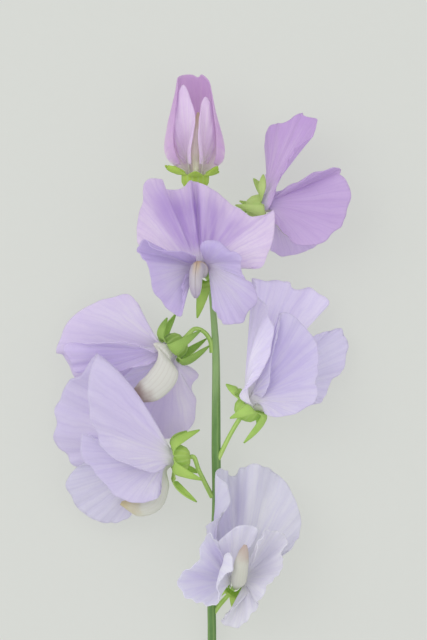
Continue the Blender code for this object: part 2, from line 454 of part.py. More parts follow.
def add_object(name, bm, mat):
    mesh = bpy.data.meshes.new(name)
    bm.to_mesh(mesh)
    bm.free()
    mesh.materials.append(mat)
    obj = bpy.data.objects.new(name, mesh)
    flower.objects.link(obj)
    return obj


def apply_modifiers(obj):
    bpy.context.view_layer.update()
    seen = obj.evaluated_get(bpy.context.evaluated_depsgraph_get())
    mesh = bpy.data.meshes.new_from_object(seen)
    mesh.name = obj.name
    obj.modifiers.clear()
    obj.data = mesh


def thicken(obj, thickness, offset=0.0):
    """Give an open sheet its thickness."""
    solid = obj.modifiers.new("thickness", "SOLIDIFY")
    solid.thickness = thickness * MM
    solid.offset = offset
    solid.use_even_offset = False
    apply_modifiers(obj)
    outward(obj)


def outward(obj):
    """Turn every face to look out of the solid."""
    bm = bmesh.new()
    bm.from_mesh(obj.data)
    bmesh.ops.recalc_face_normals(bm, faces=bm.faces)
    if bm.calc_volume(signed=True) < 0:
        bmesh.ops.reverse_faces(bm, faces=bm.faces)
    bm.to_mesh(obj.data)
    bm.free()


def sheet_object(name, rows, mat, thickness):
    bm = bmesh.new()
    lines = [[bm.verts.new(Vector(p) * MM) for p in row] for row in rows]
    for first, second in zip(lines, lines[1:]):
        strip(bm, first, second)
    obj = add_object(name, bm, mat)
    thicken(obj, thickness)
    return obj


def calyx_object(name, blossom, mat):
    cup, sepals = calyx_rows(blossom)
    bm = bmesh.new()
    rings = [[bm.verts.new(Vector(p) * MM) for p in ring] for ring in cup]
    for low, high in zip(rings, rings[1:]):
        strip(bm, low + low[:1], high + high[:1])
    for picks, rows in sepals:
        before = [rings[-1][k] for k in picks]
        for row in rows:
            after = [bm.verts.new(Vector(p) * MM) for p in row]
            strip(bm, before, after)
            before = after
    obj = add_object(name, bm, mat)
    thicken(obj, SEPAL_THICK)
    return obj


def rod_object(name, points, radii, mat, sides=8, steps=4):
    """A rod with closed ends along a smooth curve."""
    curve = bpy.data.curves.new(name, "CURVE")
    curve.dimensions = "3D"
    curve.bevel_depth = MM
    curve.bevel_resolution = max(0, sides // 4 - 1)
    curve.use_fill_caps = True
    count = (len(points) - 1) * steps + 1
    places = even_places(points, count)
    line = through(points, places)
    spline = curve.splines.new("POLY")
    spline.points.add(count - 1)
    for k in range(count):
        spline.points[k].co = (*(line[k] * MM), 1)
        spline.points[k].radius = float(np.interp(places[k], range(len(radii)), radii))
    rod = bpy.data.objects.new(name, curve)
    flower.objects.link(rod)
    bpy.context.view_layer.update()
    mesh = bpy.data.meshes.new_from_object(rod.evaluated_get(bpy.context.evaluated_depsgraph_get()))
    bpy.data.objects.remove(rod)
    mesh.name = name
    mesh.materials.clear()
    mesh.materials.append(mat)
    obj = bpy.data.objects.new(name, mesh)
    flower.objects.link(obj)
    weld(obj)
    return obj


def weld(obj):
    bm = bmesh.new()
    bm.from_mesh(obj.data)
    bmesh.ops.remove_doubles(bm, verts=bm.verts, dist=0.00001)
    bmesh.ops.triangulate(bm, faces=bm.faces)
    bm.to_mesh(obj.data)
    bm.free()
    outward(obj)


def stem_object(mat):
    """The stem and all its flower stalks, joined into one body."""
    stem = rod_object("stem", STEM_LINE, STEM_RADII, mat, sides=12, steps=3)
    stalks = bpy.data.collections.new("stalks")
    bpy.context.scene.collection.children.link(stalks)
    for name, blossom in BLOSSOMS.items():
        line = pedicel_line(blossom)
        radii = [PEDICEL_RADIUS] * (len(line) - 2) + [PEDICEL_TIP] * 2
        stalk = rod_object("stalk_" + name, line, radii, mat, steps=3)
        flower.objects.unlink(stalk)
        stalks.objects.link(stalk)
    join = stem.modifiers.new("stalks", "BOOLEAN")
    join.operation = "UNION"
    join.operand_type = "COLLECTION"
    join.collection = stalks
    join.solver = "MANIFOLD"
    apply_modifiers(stem)
    for stalk in list(stalks.objects):
        bpy.data.objects.remove(stalk)
    bpy.data.collections.remove(stalks)
    weld(stem)
    return stem


def lay_down():
    """Lean the flower so that it rests on its lowest petals and its cut end, and put it in its place."""
    turn = Euler([math.radians(a) for a in (*LEAN, 0)]).to_matrix().to_4x4()
    shift = Vector(PLACE) * MM
    for obj in flower.objects:
        obj.data.transform(turn)
        for vertex in obj.data.vertices:
            vertex.co += shift


for old in list(bpy.data.objects):
    bpy.data.objects.remove(old)

flower = bpy.data.collections.new("sweet_pea")
bpy.context.scene.collection.children.link(flower)

MATERIALS = {name: material(name, colour, roughness) for name, colour, roughness in (
    ("bud_petal", (0.51, 0.30, 0.53), 0.55),
    ("mauve_petal", (0.49, 0.34, 0.68), 0.55),
    ("lilac_petal", (0.60, 0.54, 0.80), 0.55),
    ("pale_petal", (0.65, 0.63, 0.75), 0.55),
    ("keel_cream", (0.61, 0.58, 0.48), 0.55),
    ("stamen", (0.66, 0.55, 0.30), 0.6),
    ("calyx_green", (0.30, 0.49, 0.09), 0.5),
    ("stem_green", (0.09, 0.22, 0.06), 0.45),
)}
PETAL_OF = dict(bud="bud_petal", top_front="mauve_petal", top_right="mauve_petal", upper_left="lilac_petal",
                lower_left="lilac_petal", middle_right="lilac_petal", bottom="pale_petal")

stem_object(MATERIALS["stem_green"])
for name, blossom in BLOSSOMS.items():
    petal = MATERIALS[PETAL_OF[name]]
    for part in ("standard", "left_wing", "right_wing"):
        sheet_object(name + "_" + part, blade(blossom, part), petal, PETAL_THICK)
    sheet_object(name + "_keel", keel_sheet(blossom), MATERIALS["keel_cream"], KEEL_THICK)
    column = stamen_line(blossom)
    radii = [COLUMN_RADIUS] * (len(column) - 2) + [ANTHER_RADIUS] * 2
    radii = [r * blossom["keel"]["wide"] / FULL_KEEL for r in radii]
    rod_object(name + "_stamens", column, radii, MATERIALS["stamen"], steps=1)
    calyx_object(name + "_calyx", blossom, MATERIALS["calyx_green"])
lay_down()
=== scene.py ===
# %% [markdown]
# # Sweet pea, cut and laid down
#
# A sweet pea stem carries its blossoms on short stalks, one above the other. Each blossom is built to the
# same plan: a broad standard at the back, two wings in front of it, a small boat-shaped keel between the
# wings, a stamen column inside the keel, and a green calyx that holds them all. This lesson dresses the
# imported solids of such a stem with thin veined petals, green tissue, a floor, light and a camera.
#
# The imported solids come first. They say where everything lies, and how big it may be.

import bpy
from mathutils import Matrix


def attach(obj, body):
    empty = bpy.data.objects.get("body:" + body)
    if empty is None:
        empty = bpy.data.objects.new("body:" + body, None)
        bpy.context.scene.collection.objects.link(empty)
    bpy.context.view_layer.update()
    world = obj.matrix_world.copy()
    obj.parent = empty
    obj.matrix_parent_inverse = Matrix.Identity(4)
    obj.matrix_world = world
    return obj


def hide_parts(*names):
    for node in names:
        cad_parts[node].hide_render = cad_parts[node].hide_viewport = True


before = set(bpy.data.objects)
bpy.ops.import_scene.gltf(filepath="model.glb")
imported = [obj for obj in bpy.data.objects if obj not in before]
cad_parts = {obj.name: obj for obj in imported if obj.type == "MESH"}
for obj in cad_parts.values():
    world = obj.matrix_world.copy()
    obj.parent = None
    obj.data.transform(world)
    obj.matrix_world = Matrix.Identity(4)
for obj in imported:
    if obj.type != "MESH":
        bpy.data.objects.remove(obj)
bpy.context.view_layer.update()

# %% Tools
import math

import bpy
import numpy as np
from mathutils import Euler, Vector

MM = 0.001
WHOLE_TURN = 2 * math.pi

# %% [markdown]
# ## The drawing board
#
# The flower is drawn as it is looked at: x to the right, y along the stem, z toward the viewer, all in
# millimetres. A real cut stem then rolls over until it rests on its lowest petals and its cut end. It would
# be possible to redraw every petal in that leaned pose, but one turn and one shift at the end do the same
# and leave the drawing easy to read.

# %% How the drawing lies on the floor
LEAN = (3.944, 2.688)
PLACE = (3.54, -77.76, 4.85)
TURN = Euler([math.radians(angle) for angle in (*LEAN, 0)]).to_matrix()


def laid(points):
    """Drawing points, in millimetres, as places on the floor, in metres."""
    return (np.asarray(points, float) @ np.array(TURN).T + PLACE) * MM


print("the drawing's zero lies at", laid((0, 0, 0)))

# %% [markdown]
# ## The blossoms, drawn by their margins
#
# Each petal is drawn as the run of its margin, from one side of its claw round to the other. Points hold x, y
# and z from the blossom's throat, and some carry three more numbers: how far the rib bows out on its way.
# Boxes bent into shape would lose the outline, which is what makes a sweet pea a sweet pea.
#
# The bud at the tip has its standard still wrapped round the wings, like hands that are about to open.

# %% The bud
BLOSSOMS = {}
BLOSSOMS["bud"] = dict(
    throat=(-7.9, 167.8, -1), mouth=(1.6, 0.7, 0), facing=(0.03, 0.99, 0.12), up=(0, 0.12, -0.99),
    cup=4.8, ruffle=(0.25, 4, 0.1),
    standard=[(-3.8, 3.4, 5, -4, 0, -2), (-5.2, 6.4, 8, -8, 0, -2), (-6.2, 12, 9, -10, 0, -3),
              (-5.6, 20, 9, -10, 0, -3), (-5, 30, 7, -7, 0, -2), (-4.6, 34.6, 2, -3, 0, -3),
              (0, 35.8, -1, 0, 0, -5), (2.5, 35, -1.5, 0, 0, -5), (4, 36, -0.5, 1, 0, -5),
              (6, 33.5, 3, 2, 0, -3), (7.6, 27, 7, 4, 0, -2), (8.7, 20, 9, 7, 0, -3),
              (9.2, 12, 9, 9, 0, -3), (9, 6.5, 8, 8, 0, -2), (8.2, 3.4, 5, 5, 0, -2)],
    left_wing=[(-2.4, 3.6, 0.4, -1, 0, 0), (-4.6, 7.4, 2.6, -1, 0, 1), (-6.1, 13, 5.2, -1, 0, 3),
               (-6.2, 19, 6.5, -1, 0, 6), (-5.2, 25, 6.0, -1, 0, 7), (-4.2, 30, 6.2, 0, 0, 9),
               (-2.8, 31.8, 6.5, 0, 0, 10), (-1.6, 30, 7.5, 0, 0, 9), (0, 26, 9, 0, 0, 7),
               (1.2, 22, 10.5, 0, 0, 5), (1.4, 18, 11.5, -1, 0, 4), (0.9, 13, 12, -2, 0, 3),
               (0, 8, 11.2, -1, 0, 2), (0, 3.2, 7.6, -1, 0, 1)],
    right_wing=[(6, 3.6, 0.4, 1, 0, 0), (7.9, 8, 2.4, 1, 0, 1), (8.7, 13, 4, 1, 0, 4),
                (8.6, 18, 5, 1, 0, 7), (7.8, 22, 5.4, 0, 0, 8), (6.6, 25.6, 6, 0, 0, 9),
                (5.2, 27.4, 6.5, 0, 0, 9), (4, 25.6, 8, 0, 0, 8), (3.4, 22, 10, 0, 0, 6),
                (2.9, 18, 11.5, 0, 0, 4), (2.7, 13, 12.5, 1, 0, 3), (3, 8, 11, 1, 0, 2),
                (3.2, 3.2, 7.6, 0, 0, 1)],
    keel=dict(spine=[(1.7, 3.4, 3.4), (1.6, 8, 6.5), (2.2, 15, 8), (2.6, 21.8, 7)],
              open=(0, 0, -1), wide=1.4, deep=4.5),
    sepals=[(10.2, 1.0, -6), (-7, 3, -8), (9.6, 2.6, 5), (-9.4, 2.8, 3), (1.2, 0.4, 10.5)],
    pedicel=[(-3, 147, 0), (-3.6, 150.6, -0.4), (-5.2, 155, -1.2)])

# %% [markdown]
# ### A blossom that looks at the viewer
#
# Its standard spreads like a fan with a crease at the top, and the wings hang below it round a short keel.
# It could be drawn flat, like a pressed flower. Here each point has its own depth, so the wings stand out.

# %% The top blossom, seen from the front
BLOSSOMS["top_front"] = dict(
    throat=(-2.9, 132.5, 14), mouth=(-0.8, 0.5, -1), facing=(-0.2, 0.3, 0.93),
    up=(-0.1, 0.95, -0.3), cup=4.8, ruffle=(0.7, 6, 0.3),
    standard=[(-9, 3, -3), (-18, 6, -4), (-24, 10, -5), (-24.3, 15, -4), (-22.8, 22, -1),
              (-21.8, 26.5, 2, 0, 0, -3), (-21.6, 30, 6, 0, 0, -5), (-19, 32.6, 7, 0, 0, -6),
              (-15.9, 32.4, 3, 0, 0, -3), (-14.8, 29.5, -4), (-9, 29.5, -5), (-5.5, 32.3, -2),
              (-3.5, 32, -4, 0, 0, -3), (-1, 31.8, -1), (1, 30.5, 0), (5, 27.5, -2), (9.5, 24, -4),
              (13, 22.5, -4), (17, 19.3, -4), (20.5, 20, -2), (24.5, 22, -1), (24.8, 15, 0),
              (24, 10, 1), (22.3, 6, 1), (20.8, 2.3, 1), (18, 0.9, 1), (13, 2.4, 0), (7, 5, -1.5)],
    left_wing=[(-3, 5.2, 5.4, 0, 0, 1), (-6, 6.4, 9, 0, 0, -2), (-10, 6.8, 11, 0, -1, -3),
               (-14, 6.9, 12, 0, -1, -4), (-17, 8, 12.5, 0, -1, -4), (-20, 10.2, 12, 0, 0, -4),
               (-22.8, 9.5, 9, 0, 0, -2), (-24, 7.2, 7), (-22.5, 5, 8, 0, 0, 1),
               (-20, 2, 10, 0, 0, 1), (-19, -2, 11), (-18, -7, 11.5), (-15, -11.5, 11.5),
               (-10, -15.4, 12), (-8.3, -15.3, 12.5), (-7.3, -12, 12), (-7.8, -8, 10),
               (-7.9, -5, 8), (-6.8, -1, 5)],
    right_wing=[(-0.6, 5, 3), (-1.7, 8.6, 6, 0, 0, 2), (0, 10.3, 7, 0, 0, 5), (3, 10.8, 7, 0, 0, 6),
                (6, 10, 7.5, 0, 0, 6), (9, 7.5, 8, 0, 0, 5), (12, 6, 8, 0, 0, 4),
                (13, 3.5, 7, 0, 0, 1), (12.8, 0, 6.5, 0, 0, 0), (14, -2, 7, 0, 0, 2),
                (17, -5, 8, 0, 0, 5), (18.2, -10, 8.5, 0, 0, 6), (17, -13, 8.5, 0, 0, 6),
                (15, -15.5, 9, 0, 0, 6), (13, -18, 10, 0, 0, 6), (10, -19, 11, 0, 0, 5),
                (7, -18.6, 11, 0, 0, 5), (5, -17, 10.5, 0, 0, 4), (3.8, -14.5, 9, 0, 0, 3),
                (3, -10, 7, 0, 0, 2), (2.8, -5, 5)],
    keel=dict(spine=[(-2.3, -0.6, 1.5), (-2.9, -2, 5), (-3.1, -5, 7), (-3.1, -9.6, 7.7)],
              open=(-0.05, 0.25, 1), wide=2.25, deep=5.2),
    sepals=[(6, 6, -13), (-8, 6, -13), (9, -6, -10), (-8, -6, -9), (-2.7, -16.5, -3)],
    pedicel=[(-0.3, 121.5, 0), (0.2, 125.5, 0.8), (-0.8, 128.6, 3.2)])

# %% [markdown]
# ### A blossom in profile
#
# The standard is seen on its edge, fluted like a folded napkin, and its wings lie flat against each other.
# A flat fan could be folded into flutes. Margin points that step to and fro in depth fold it by themselves.

# %% The blossom at the top right
BLOSSOMS["top_right"] = dict(
    throat=(17.6, 158.4, 0), mouth=(1.0, -2.4, 0), facing=(0.97, 0.2, 0.05), up=(-0.2, 0.97, 0),
    cup=4.8, ruffle=(0.7, 6, 0.7),
    standard=[(4.2, 1.4, 6), (5.2, 4.6, 8.5), (7, 9, 12), (11, 16, 15), (14, 19.5, 15),
              (17.5, 23, 13), (19.6, 26.5, 10), (19.8, 28.3, 7), (17.5, 29.6, 4), (15.5, 30.4, 2),
              (15, 31.6, 0), (13, 31.5, -2), (10.5, 29.2, -4), (8, 27.8, -6), (5, 28.2, -9),
              (3, 27, -12), (1.8, 23, -15), (1.7, 17, -16), (1.7, 10, -13), (2.0, 4, -6)],
    left_wing=[(6.5, 1.6, 4), (8, 3.6, 6), (10.5, 5.4, 8.5), (14, 6.1, 10), (18, 9, 9),
               (22, 10.6, 8), (25, 11.5, 7), (28.4, 11, 5), (27.5, 9.4, 6), (30, 7, 7),
               (31.6, 3, 8), (31.8, 0, 8), (30.2, -3.5, 8), (29.8, -6.5, 8), (28, -10, 9),
               (25, -12.7, 10), (22, -15, 10), (18, -16.5, 10), (12.5, -16, 9), (8, -12.5, 8),
               (5.5, -9.3, 6), (3.6, -7.8, 5), (2.4, -6.6, 4.5)],
    right_wing=[(5, 3, -4), (10, 4, -7), (18, 6, -9), (24, 4, -9), (27, -3, -9), (25, -10, -9),
                (20, -16, -9), (15, -18.7, -8), (10, -20, -7), (6, -19.6, -6), (3.3, -17.8, -5),
                (3, -13, -4), (3.5, -9, -3)],
    keel=dict(spine=[(3.6, -4.6, 0), (6, -10, 0), (11, -13.5, 0), (18, -10.5, 0)],
              open=(0.3, 1, 0), wide=2.0, deep=6.5),
    sepals=[(-3, 8, -6), (0.5, 9, 3), (-8, 0, -9), (-9.5, -2, 5), (-4, -10, -4)],
    pedicel=[(-3, 147, 0), (1.2, 150.6, -0.6), (5, 153.4, -0.8)])

# %% [markdown]
# ### A blossom from below
#
# It turns its keel to the viewer. The standard lies behind, and one wing reaches out over it. A straight boat
# would do for most keels, but this one is seen from its side, so its line is drawn with the hook it has.

# %% The upper blossom on the left
BLOSSOMS["upper_left"] = dict(
    throat=(-13.3, 105.5, 2), mouth=(-2.4, -1.4, 0.5), facing=(-0.76, -0.64, 0.1),
    up=(0.05, 0.1, -0.99), cup=4.8, ruffle=(0.5, 6, 0.2),
    standard=[(-0.6, -6.4, -4), (3, -6.6, -6), (6.3, -8, -7), (8.2, -10.5, -7), (6, -13, -8),
              (5.3, -15.5, -8), (7, -20, -8), (7.2, -24, -8), (5.6, -28.5, -9), (1, -32, -10),
              (-8, -33, -12), (-18, -29, -13), (-28, -21, -14), (-36, -12, -14), (-41, -3, -13),
              (-43.6, -1.9, -12), (-42, 3, -11), (-40.5, 7, -11), (-38, 10.5, -10), (-34, 13.5, -9),
              (-30, 15.5, -9), (-25, 17.5, -8), (-21, 18.8, -8), (-17, 18.6, -7), (-14.2, 16, -6),
              (-13.5, 12.5, -6), (-13.2, 8, -6), (-11.5, 6.4, -5), (-9.4, 4.8, -5),
              (-7.8, 1.8, -4)],
    left_wing=[(-6, -1.6, 2), (-8, -2, 4), (-12, -0.2, 6), (-17, 1.5, 7), (-24, 2, 6),
               (-33, 1.5, 2), (-39.3, 1, 0), (-40.3, -0.8, 0), (-39, -4, -1), (-38, -6.5, -2.5),
               (-36.5, -9, -3), (-32, -9.5, -3), (-28, -8.5, -2), (-24, -8.6, 0), (-20, -8.6, 2),
               (-15, -7.6, 4), (-10, -6, 4), (-6.5, -4.6, 2.5)],
    right_wing=[(-6, -5, 0, 0, 0, -1), (-12, -6, -1, 0, 0, -2), (-16.5, -8.5, -2, 0, 0, -2),
                (-19, -11, -2, 0, 0, -2), (-21, -13, -2.5, 0, 0, -2), (-25, -18, -4, 0, 0, -2),
                (-24, -24, -5, 0, 0, -2), (-18, -27, -5, 0, 0, -2), (-12, -22, -5, 0, 0, -2),
                (-8, -16, -4, 0, 0, -2), (-4, -9, -2, 0, 0, -1)],
    keel=dict(spine=[(-1.9, -4.8, 4.3), (0.8, -9.4, 5.3), (-1.4, -14.6, 5), (-6.8, -19, 4),
                     (-13.4, -19.8, 3.4)],
              open=(-0.66, 0.75, 0), wide=2.6, deep=10, turned=0.02, slanted=0.9),
    sepals=[(0, 12, -6), (11, 3, -7), (-3, 10.5, 5), (12, 0.5, 2), (9, 6, 9)],
    pedicel=[(-0.3, 103.5, 0), (-1.0, 107.8, 0.5), (-3.3, 111, 0.9), (-6.6, 112, 1.1)])

# %% [markdown]
# ### A folded standard
#
# The two halves of this standard fold on its middle line, so that the near half covers most of the far one.
# Two flat halves could meet in a sharp edge. Ribs that bow out near the fold keep it as round as tissue is.

# %% The lower blossom on the left
BLOSSOMS["lower_left"] = dict(
    throat=(-13.3, 64.1, 5), mouth=(-1.6, 1.4, 0), facing=(-0.98, -0.05, 0.05), up=(0.1, 0.99, 0.1),
    cup=4.8, ruffle=(0.7, 6, 0.5),
    standard=[(-3.4, -0.6, 6), (-6.5, -2.6, 10), (-11, -2.5, 12.5), (-16, -0.5, 14), (-21, 1.5, 14),
              (-24, 3.5, 14), (-26.5, 7, 14), (-27.5, 11, 14), (-29.5, 13, 14), (-30.5, 17, 13),
              (-31, 22, 12), (-30.5, 30, 9, 2, 0, 0), (-30, 35, 8, 4, 2, 3),
              (-28.5, 38.5, 5, 6, 4, 6), (-31, 36, 1, 6, 4, 5), (-34, 31.5, -4, 5, 4, 2),
              (-38, 30, -7, 3, 3, 0), (-40.5, 26, -10), (-42.5, 22, -12), (-44, 18, -13),
              (-43.5, 12, -14), (-44, 8, -15), (-43, 5, -16), (-40, 2, -16), (-38, -1, -16),
              (-34, -3, -16), (-28, -3, -15), (-18, 3, -13), (-9, 6, -8), (-5, 6.5, -4)],
    left_wing=[(-6, -2, 3.4), (-12, -1, 5.2), (-20, 2.5, 7.5), (-27, 8, 8), (-33, 10.5, 6),
               (-34, 6, 5), (-33.5, 2, 5), (-32, -0.3, 5), (-29, -2.5, 6), (-27, -6, 7),
               (-23, -10, 8), (-19, -12.6, 9), (-14, -14, 9), (-9, -13.5, 8), (-6, -12, 7),
               (-5.2, -9, 6), (-5.6, -4, 4)],
    right_wing=[(-8, -5, -4), (-20, -4, -6), (-30, -1.8, -6), (-33, -0.8, -6), (-37, -3, -6),
                (-39.3, -7, -6), (-38.5, -11, -6), (-36, -16, -6), (-31, -20, -6), (-25, -22, -6),
                (-20, -21.5, -5.5), (-17, -20, -5), (-14, -16, -4.5), (-8, -8, -4), (-5, -4, -3)],
    keel=dict(spine=[(-3.2, -2.6, 0), (-2.6, -9, 0), (-5.5, -16.5, 0), (-13, -19.2, 0),
                     (-20, -15, 0)],
              open=(-0.6, 0.8, 0), wide=2.2, deep=7),
    sepals=[(8.5, 11.7, 2), (4, 11, -7), (9.5, -6, 6), (9, -4, -6), (7.5, -14, 2)],
    pedicel=[(-0.3, 51.5, 0), (-2.8, 56.5, 1.6), (-5.2, 61.6, 2.8)])

# %% [markdown]
# ### A half-turned blossom
#
# The near half of its standard folds toward the viewer, and its wings stand out to the right like a fan. A
# modifier could roll the near half in. Here its ribs bow to the left on their way, which rolls it as softly.

# %% The blossom on the right
BLOSSOMS["middle_right"] = dict(
    throat=(14.0, 84.2, 6), mouth=(0, 1.2, 0), facing=(0.6, 0.78, 0.2), up=(-0.7, 0.68, -0.1),
    cup=4.8, ruffle=(0.6, 6, 0.9),
    standard=[(-3.1, 5.8, 7, -6, -2, 2), (-2.6, 6, 8.2, -7, -1, 2), (0, 8, 8.5, -9, 0, 2),
              (2.5, 11, 9, -9, 0, 2), (4.5, 14.5, 9, -9, 0, 2), (6, 18, 9, -9, 0, 0),
              (7, 22, 9, -9, 0, 0), (7.5, 26, 9, -9, 0, 0), (7, 30, 9, -8, 0, 0),
              (6, 33, 8, -6, 0, 0), (5, 36, 7, -4, 0, 0), (2.5, 38.5, 5, -2, 0, 0), (1, 41, 3),
              (0.4, 44, 1), (1, 46, -1), (5, 45, -3), (8.5, 45.5, -5), (11, 44.7, -6),
              (13.5, 44.5, -7), (14.5, 43, -9), (17, 42.3, -9), (20.5, 42.5, -8), (24, 41, -9),
              (26.5, 39, -10), (27.8, 37, -10), (26.5, 35, -10), (23, 32, -11), (19, 28.5, -13),
              (14, 22, -14), (9, 15, -12), (3, 11, -8), (-1, 7.5, -4)],
    left_wing=[(3.4, 3.2, 4.7), (5.3, 6, 6.1), (6.3, 9, 7), (6.6, 15, 7.6), (7.6, 21, 8.2),
               (9, 27, 8.2), (10.2, 32.5, 8), (12, 34, 7), (15, 32, 6), (18, 29.5, 5),
               (20.5, 26.5, 5), (22.5, 24, 5), (23.6, 20, 6), (23.8, 15, 7), (23, 10, 8),
               (23.2, 6, 9), (22, 2, 9), (19, -0.5, 9), (15, -2.5, 9), (11, -3.2, 8),
               (7.5, -3.5, 7), (4.5, -2.4, 5)],
    right_wing=[(8, 7, -5), (14, 15, -8), (19, 22, -9), (22.5, 24.6, -9), (26, 26.5, -9),
                (30, 27.7, -9), (32.3, 28, -9), (33.6, 25.5, -9), (34.6, 21.5, -9), (34, 16, -9),
                (32, 12, -8), (29, 9.5, -8), (27.5, 6, -8), (26, 2.8, -8), (23.5, 0.8, -7),
                (16, 0, -6), (8, 0, -4)],
    keel=dict(spine=[(2, -1.2, 0.6), (7, -2.6, 0.4), (14, -2.2, 0), (20, 1.5, 0)],
              open=(-0.1, 1, 0), wide=2.1, deep=6.5),
    sepals=[(-9, 7, -7), (-9.3, 8, 2), (2, -7, -9), (-8, -4, 8), (-3, -13, 2)],
    pedicel=[(0.8, 63, 0), (3, 67.5, 1.0), (6.2, 74, 3.0)])

# %% [markdown]
# ### The oldest blossom
#
# The lowest blossom opened first. It is the palest and the most frilled, and its wings have begun to curl.
# A cloth simulation could curl them, but not just where it is wanted. Bows in the ribs curl what they are
# drawn on and nothing else.

# %% The lowest blossom
BLOSSOMS["bottom"] = dict(
    throat=(9.7, 22.3, 10), mouth=(-1.2, -1.2, -2), facing=(0.1, 0.25, 0.96), up=(0, 0.96, -0.25),
    cup=4.8, ruffle=(1.0, 7, 0.4),
    standard=[(-5, 6, -4), (-9, 12, -5), (-11.6, 17, -3), (-11.4, 20, 1), (-8.6, 22, 4, -2, 0, -5),
              (-5.6, 23.6, 6, -6, 0, -5), (-4.4, 27, 7, -10, 0, -6), (-4, 31, 7, -12, 0, -6),
              (-4.8, 35, 6, -10, 0, -5), (-8, 38.6, 4, -4, 0, -4), (-7, 40, 0, -1, 0, -3),
              (-4.6, 38, -4), (-2, 37.5, -6), (1, 40, -4), (5, 41.3, -2), (10, 40, -4),
              (13, 38, -6), (17, 34, -5), (20, 28, -3), (21.8, 22, -3), (21.6, 16, -4),
              (19.8, 13.3, -3), (17.5, 10.3, -1), (15, 10, -3), (10, 8.5, -5), (5, 6, -5)],
    left_wing=[(1, 8, 4), (4.4, 14, 4.6), (6.2, 18.4, 6, 0, 0, -2), (3, 19.9, 6, 0, 0, -2),
               (-1, 19.6, 5.4, 0, 0, -1), (-4, 17.6, 4.6, 0, 0, 0), (-6.4, 15, 5.6), (-8, 13.6, 8),
               (-9, 16, 11, 0, 0, -3), (-11, 17.9, 11, 0, 0, -5), (-12.6, 15, 9, 0, 0, -4),
               (-13.6, 12, 8), (-15, 8, 10, 0, 0, -2), (-18, 5.5, 11, 0, 0, -4),
               (-20.6, 3, 10, 0, 0, -5), (-21.5, -1, 9, 0, 0, -5), (-20.3, -4, 10, 0, 0, -6),
               (-17, -7, 11, 0, 0, -7), (-12, -8.2, 11, 0, 0, -7), (-8.6, -6.6, 12, 0, 0, -5),
               (-8, -2, 13, -3, 0, -2), (-6, 2.2, 14, -6, 3, 0), (-2.9, 4.2, 14.5, -8, 6, 0),
               (-2.6, 7.6, 14, -7, 7, 0), (-3.8, 10.6, 13, -5, 5, 0)],
    right_wing=[(3.4, 5, 5), (4.9, 8, 9, 0, 0, -2), (5.6, 11, 11, 0, 0, -4), (6, 14, 12, 0, 0, -5),
                (8, 16, 12, 0, 0, -5), (9.6, 18, 11, 0, 0, -5), (12, 18.6, 10, 0, 0, -5),
                (14.6, 17.9, 10, 0, 0, -5), (16.3, 15.5, 10, 0, 0, -5), (15.5, 13, 11, 0, 0, -5),
                (14.2, 11, 12, 0, 0, -6), (15.8, 8, 12, 0, 0, -6), (15, 5, 12, 0, 0, -5),
                (12, 3, 12, 0, 0, -3), (10.5, 0, 11), (9, -3, 11, 0, 0, 2), (7.3, -6.3, 9, 0, 0, 3),
                (5.5, -7, 7), (5.8, -9, 5), (4, -12, 5, 0, 0, 2), (1.5, -15.3, 3, 0, 0, 2),
                (-2, -17, 1), (-6, -15.6, 1), (-5.6, -13, 3, 3, 0, 0), (-1, -8, 4, 3, 0, 0),
                (2.4, -5, 3, 3, 0, 0)],
    keel=dict(spine=[(-1.1, -2.6, 1), (-0.6, -1, 9), (0.4, 6, 13.5), (1.8, 13.4, 12.5)],
              open=(0, 0.3, -1), wide=2.6, deep=5),
    sepals=[(6, 7, -13), (-6, 7, -13), (8, -5, -12), (-7, -6, -6), (-2, -12, -8)],
    pedicel=[(-0.3, 9, 0), (2.4, 12.6, -0.4), (5.4, 16, -1.0)])
print("blossoms drawn:", ", ".join(BLOSSOMS))

# %% [markdown]
# ## Curves through points
#
# Every outline here is a few points that a smooth curve runs through. Blender's own curve objects could hold
# them, but petals are filled from curves by arithmetic, so it is shorter to keep them as arrays. A
# Catmull-Rom curve passes exactly through its points, which makes an outline easy to draw.

# %% Smooth curves
FINE_STEPS = 40


def unit(v):
    v = np.asarray(v, float)
    return v / np.linalg.norm(v, axis=-1, keepdims=True)


def through(points, places):
    """A smooth curve through the points. Place 1.5 is half way from the second point to the third."""
    points = np.asarray(points, float)
    last = len(points) - 1
    slope = np.gradient(points, axis=0)
    places = np.clip(places, 0, last)
    k = np.minimum(places.astype(int), last - 1)
    t = (places - k)[:, None]
    return ((2 * t**3 - 3 * t**2 + 1) * points[k] + (t**3 - 2 * t**2 + t) * slope[k]
            + (3 * t**2 - 2 * t**3) * points[k + 1] + (t**3 - t**2) * slope[k + 1])


def even_places(points, count):
    """Places that lie evenly spaced along the curve through the points."""
    fine = np.linspace(0, len(points) - 1, FINE_STEPS * len(points))
    run = np.linalg.norm(np.diff(through(points, fine), axis=0), axis=1)
    run = np.concatenate([[0], np.cumsum(run)])
    return np.interp(np.linspace(0, run[-1], count), run, fine)


def bezier(a, b, c, d, t):
    return (1 - t)**3 * a + 3 * (1 - t)**2 * t * b + 3 * (1 - t) * t * t * c + t**3 * d


half_way = through([(0, 0), (1, 0), (1, 1)], np.array([0.5]))[0]
print("round three corners of a square, the curve first passes", half_way)

# %% [markdown]
# ## A petal's blade
#
# A petal grows from a narrow claw, and its veins fan out from there to the margin. The blade is made the same
# way: each rib is a short curve that leaves the claw forward and bends to its own point of the margin, and
# rows across the ribs make the sheet. A flat sheet bent by a modifier would also give a petal, but ribs put
# the veins, the folds and the waved margin where the plant has them.

# %% Which way a blossom faces
def axes(blossom):
    """Where the throat is, and the ways a blossom faces: forward, up toward its standard, and sideways."""
    forward = unit(blossom["facing"])
    side = unit(np.cross(forward, blossom["up"]))
    up = np.cross(side, forward)
    throat = np.array(blossom["throat"], float)
    return throat, throat + np.array(blossom["mouth"], float), forward, up, side


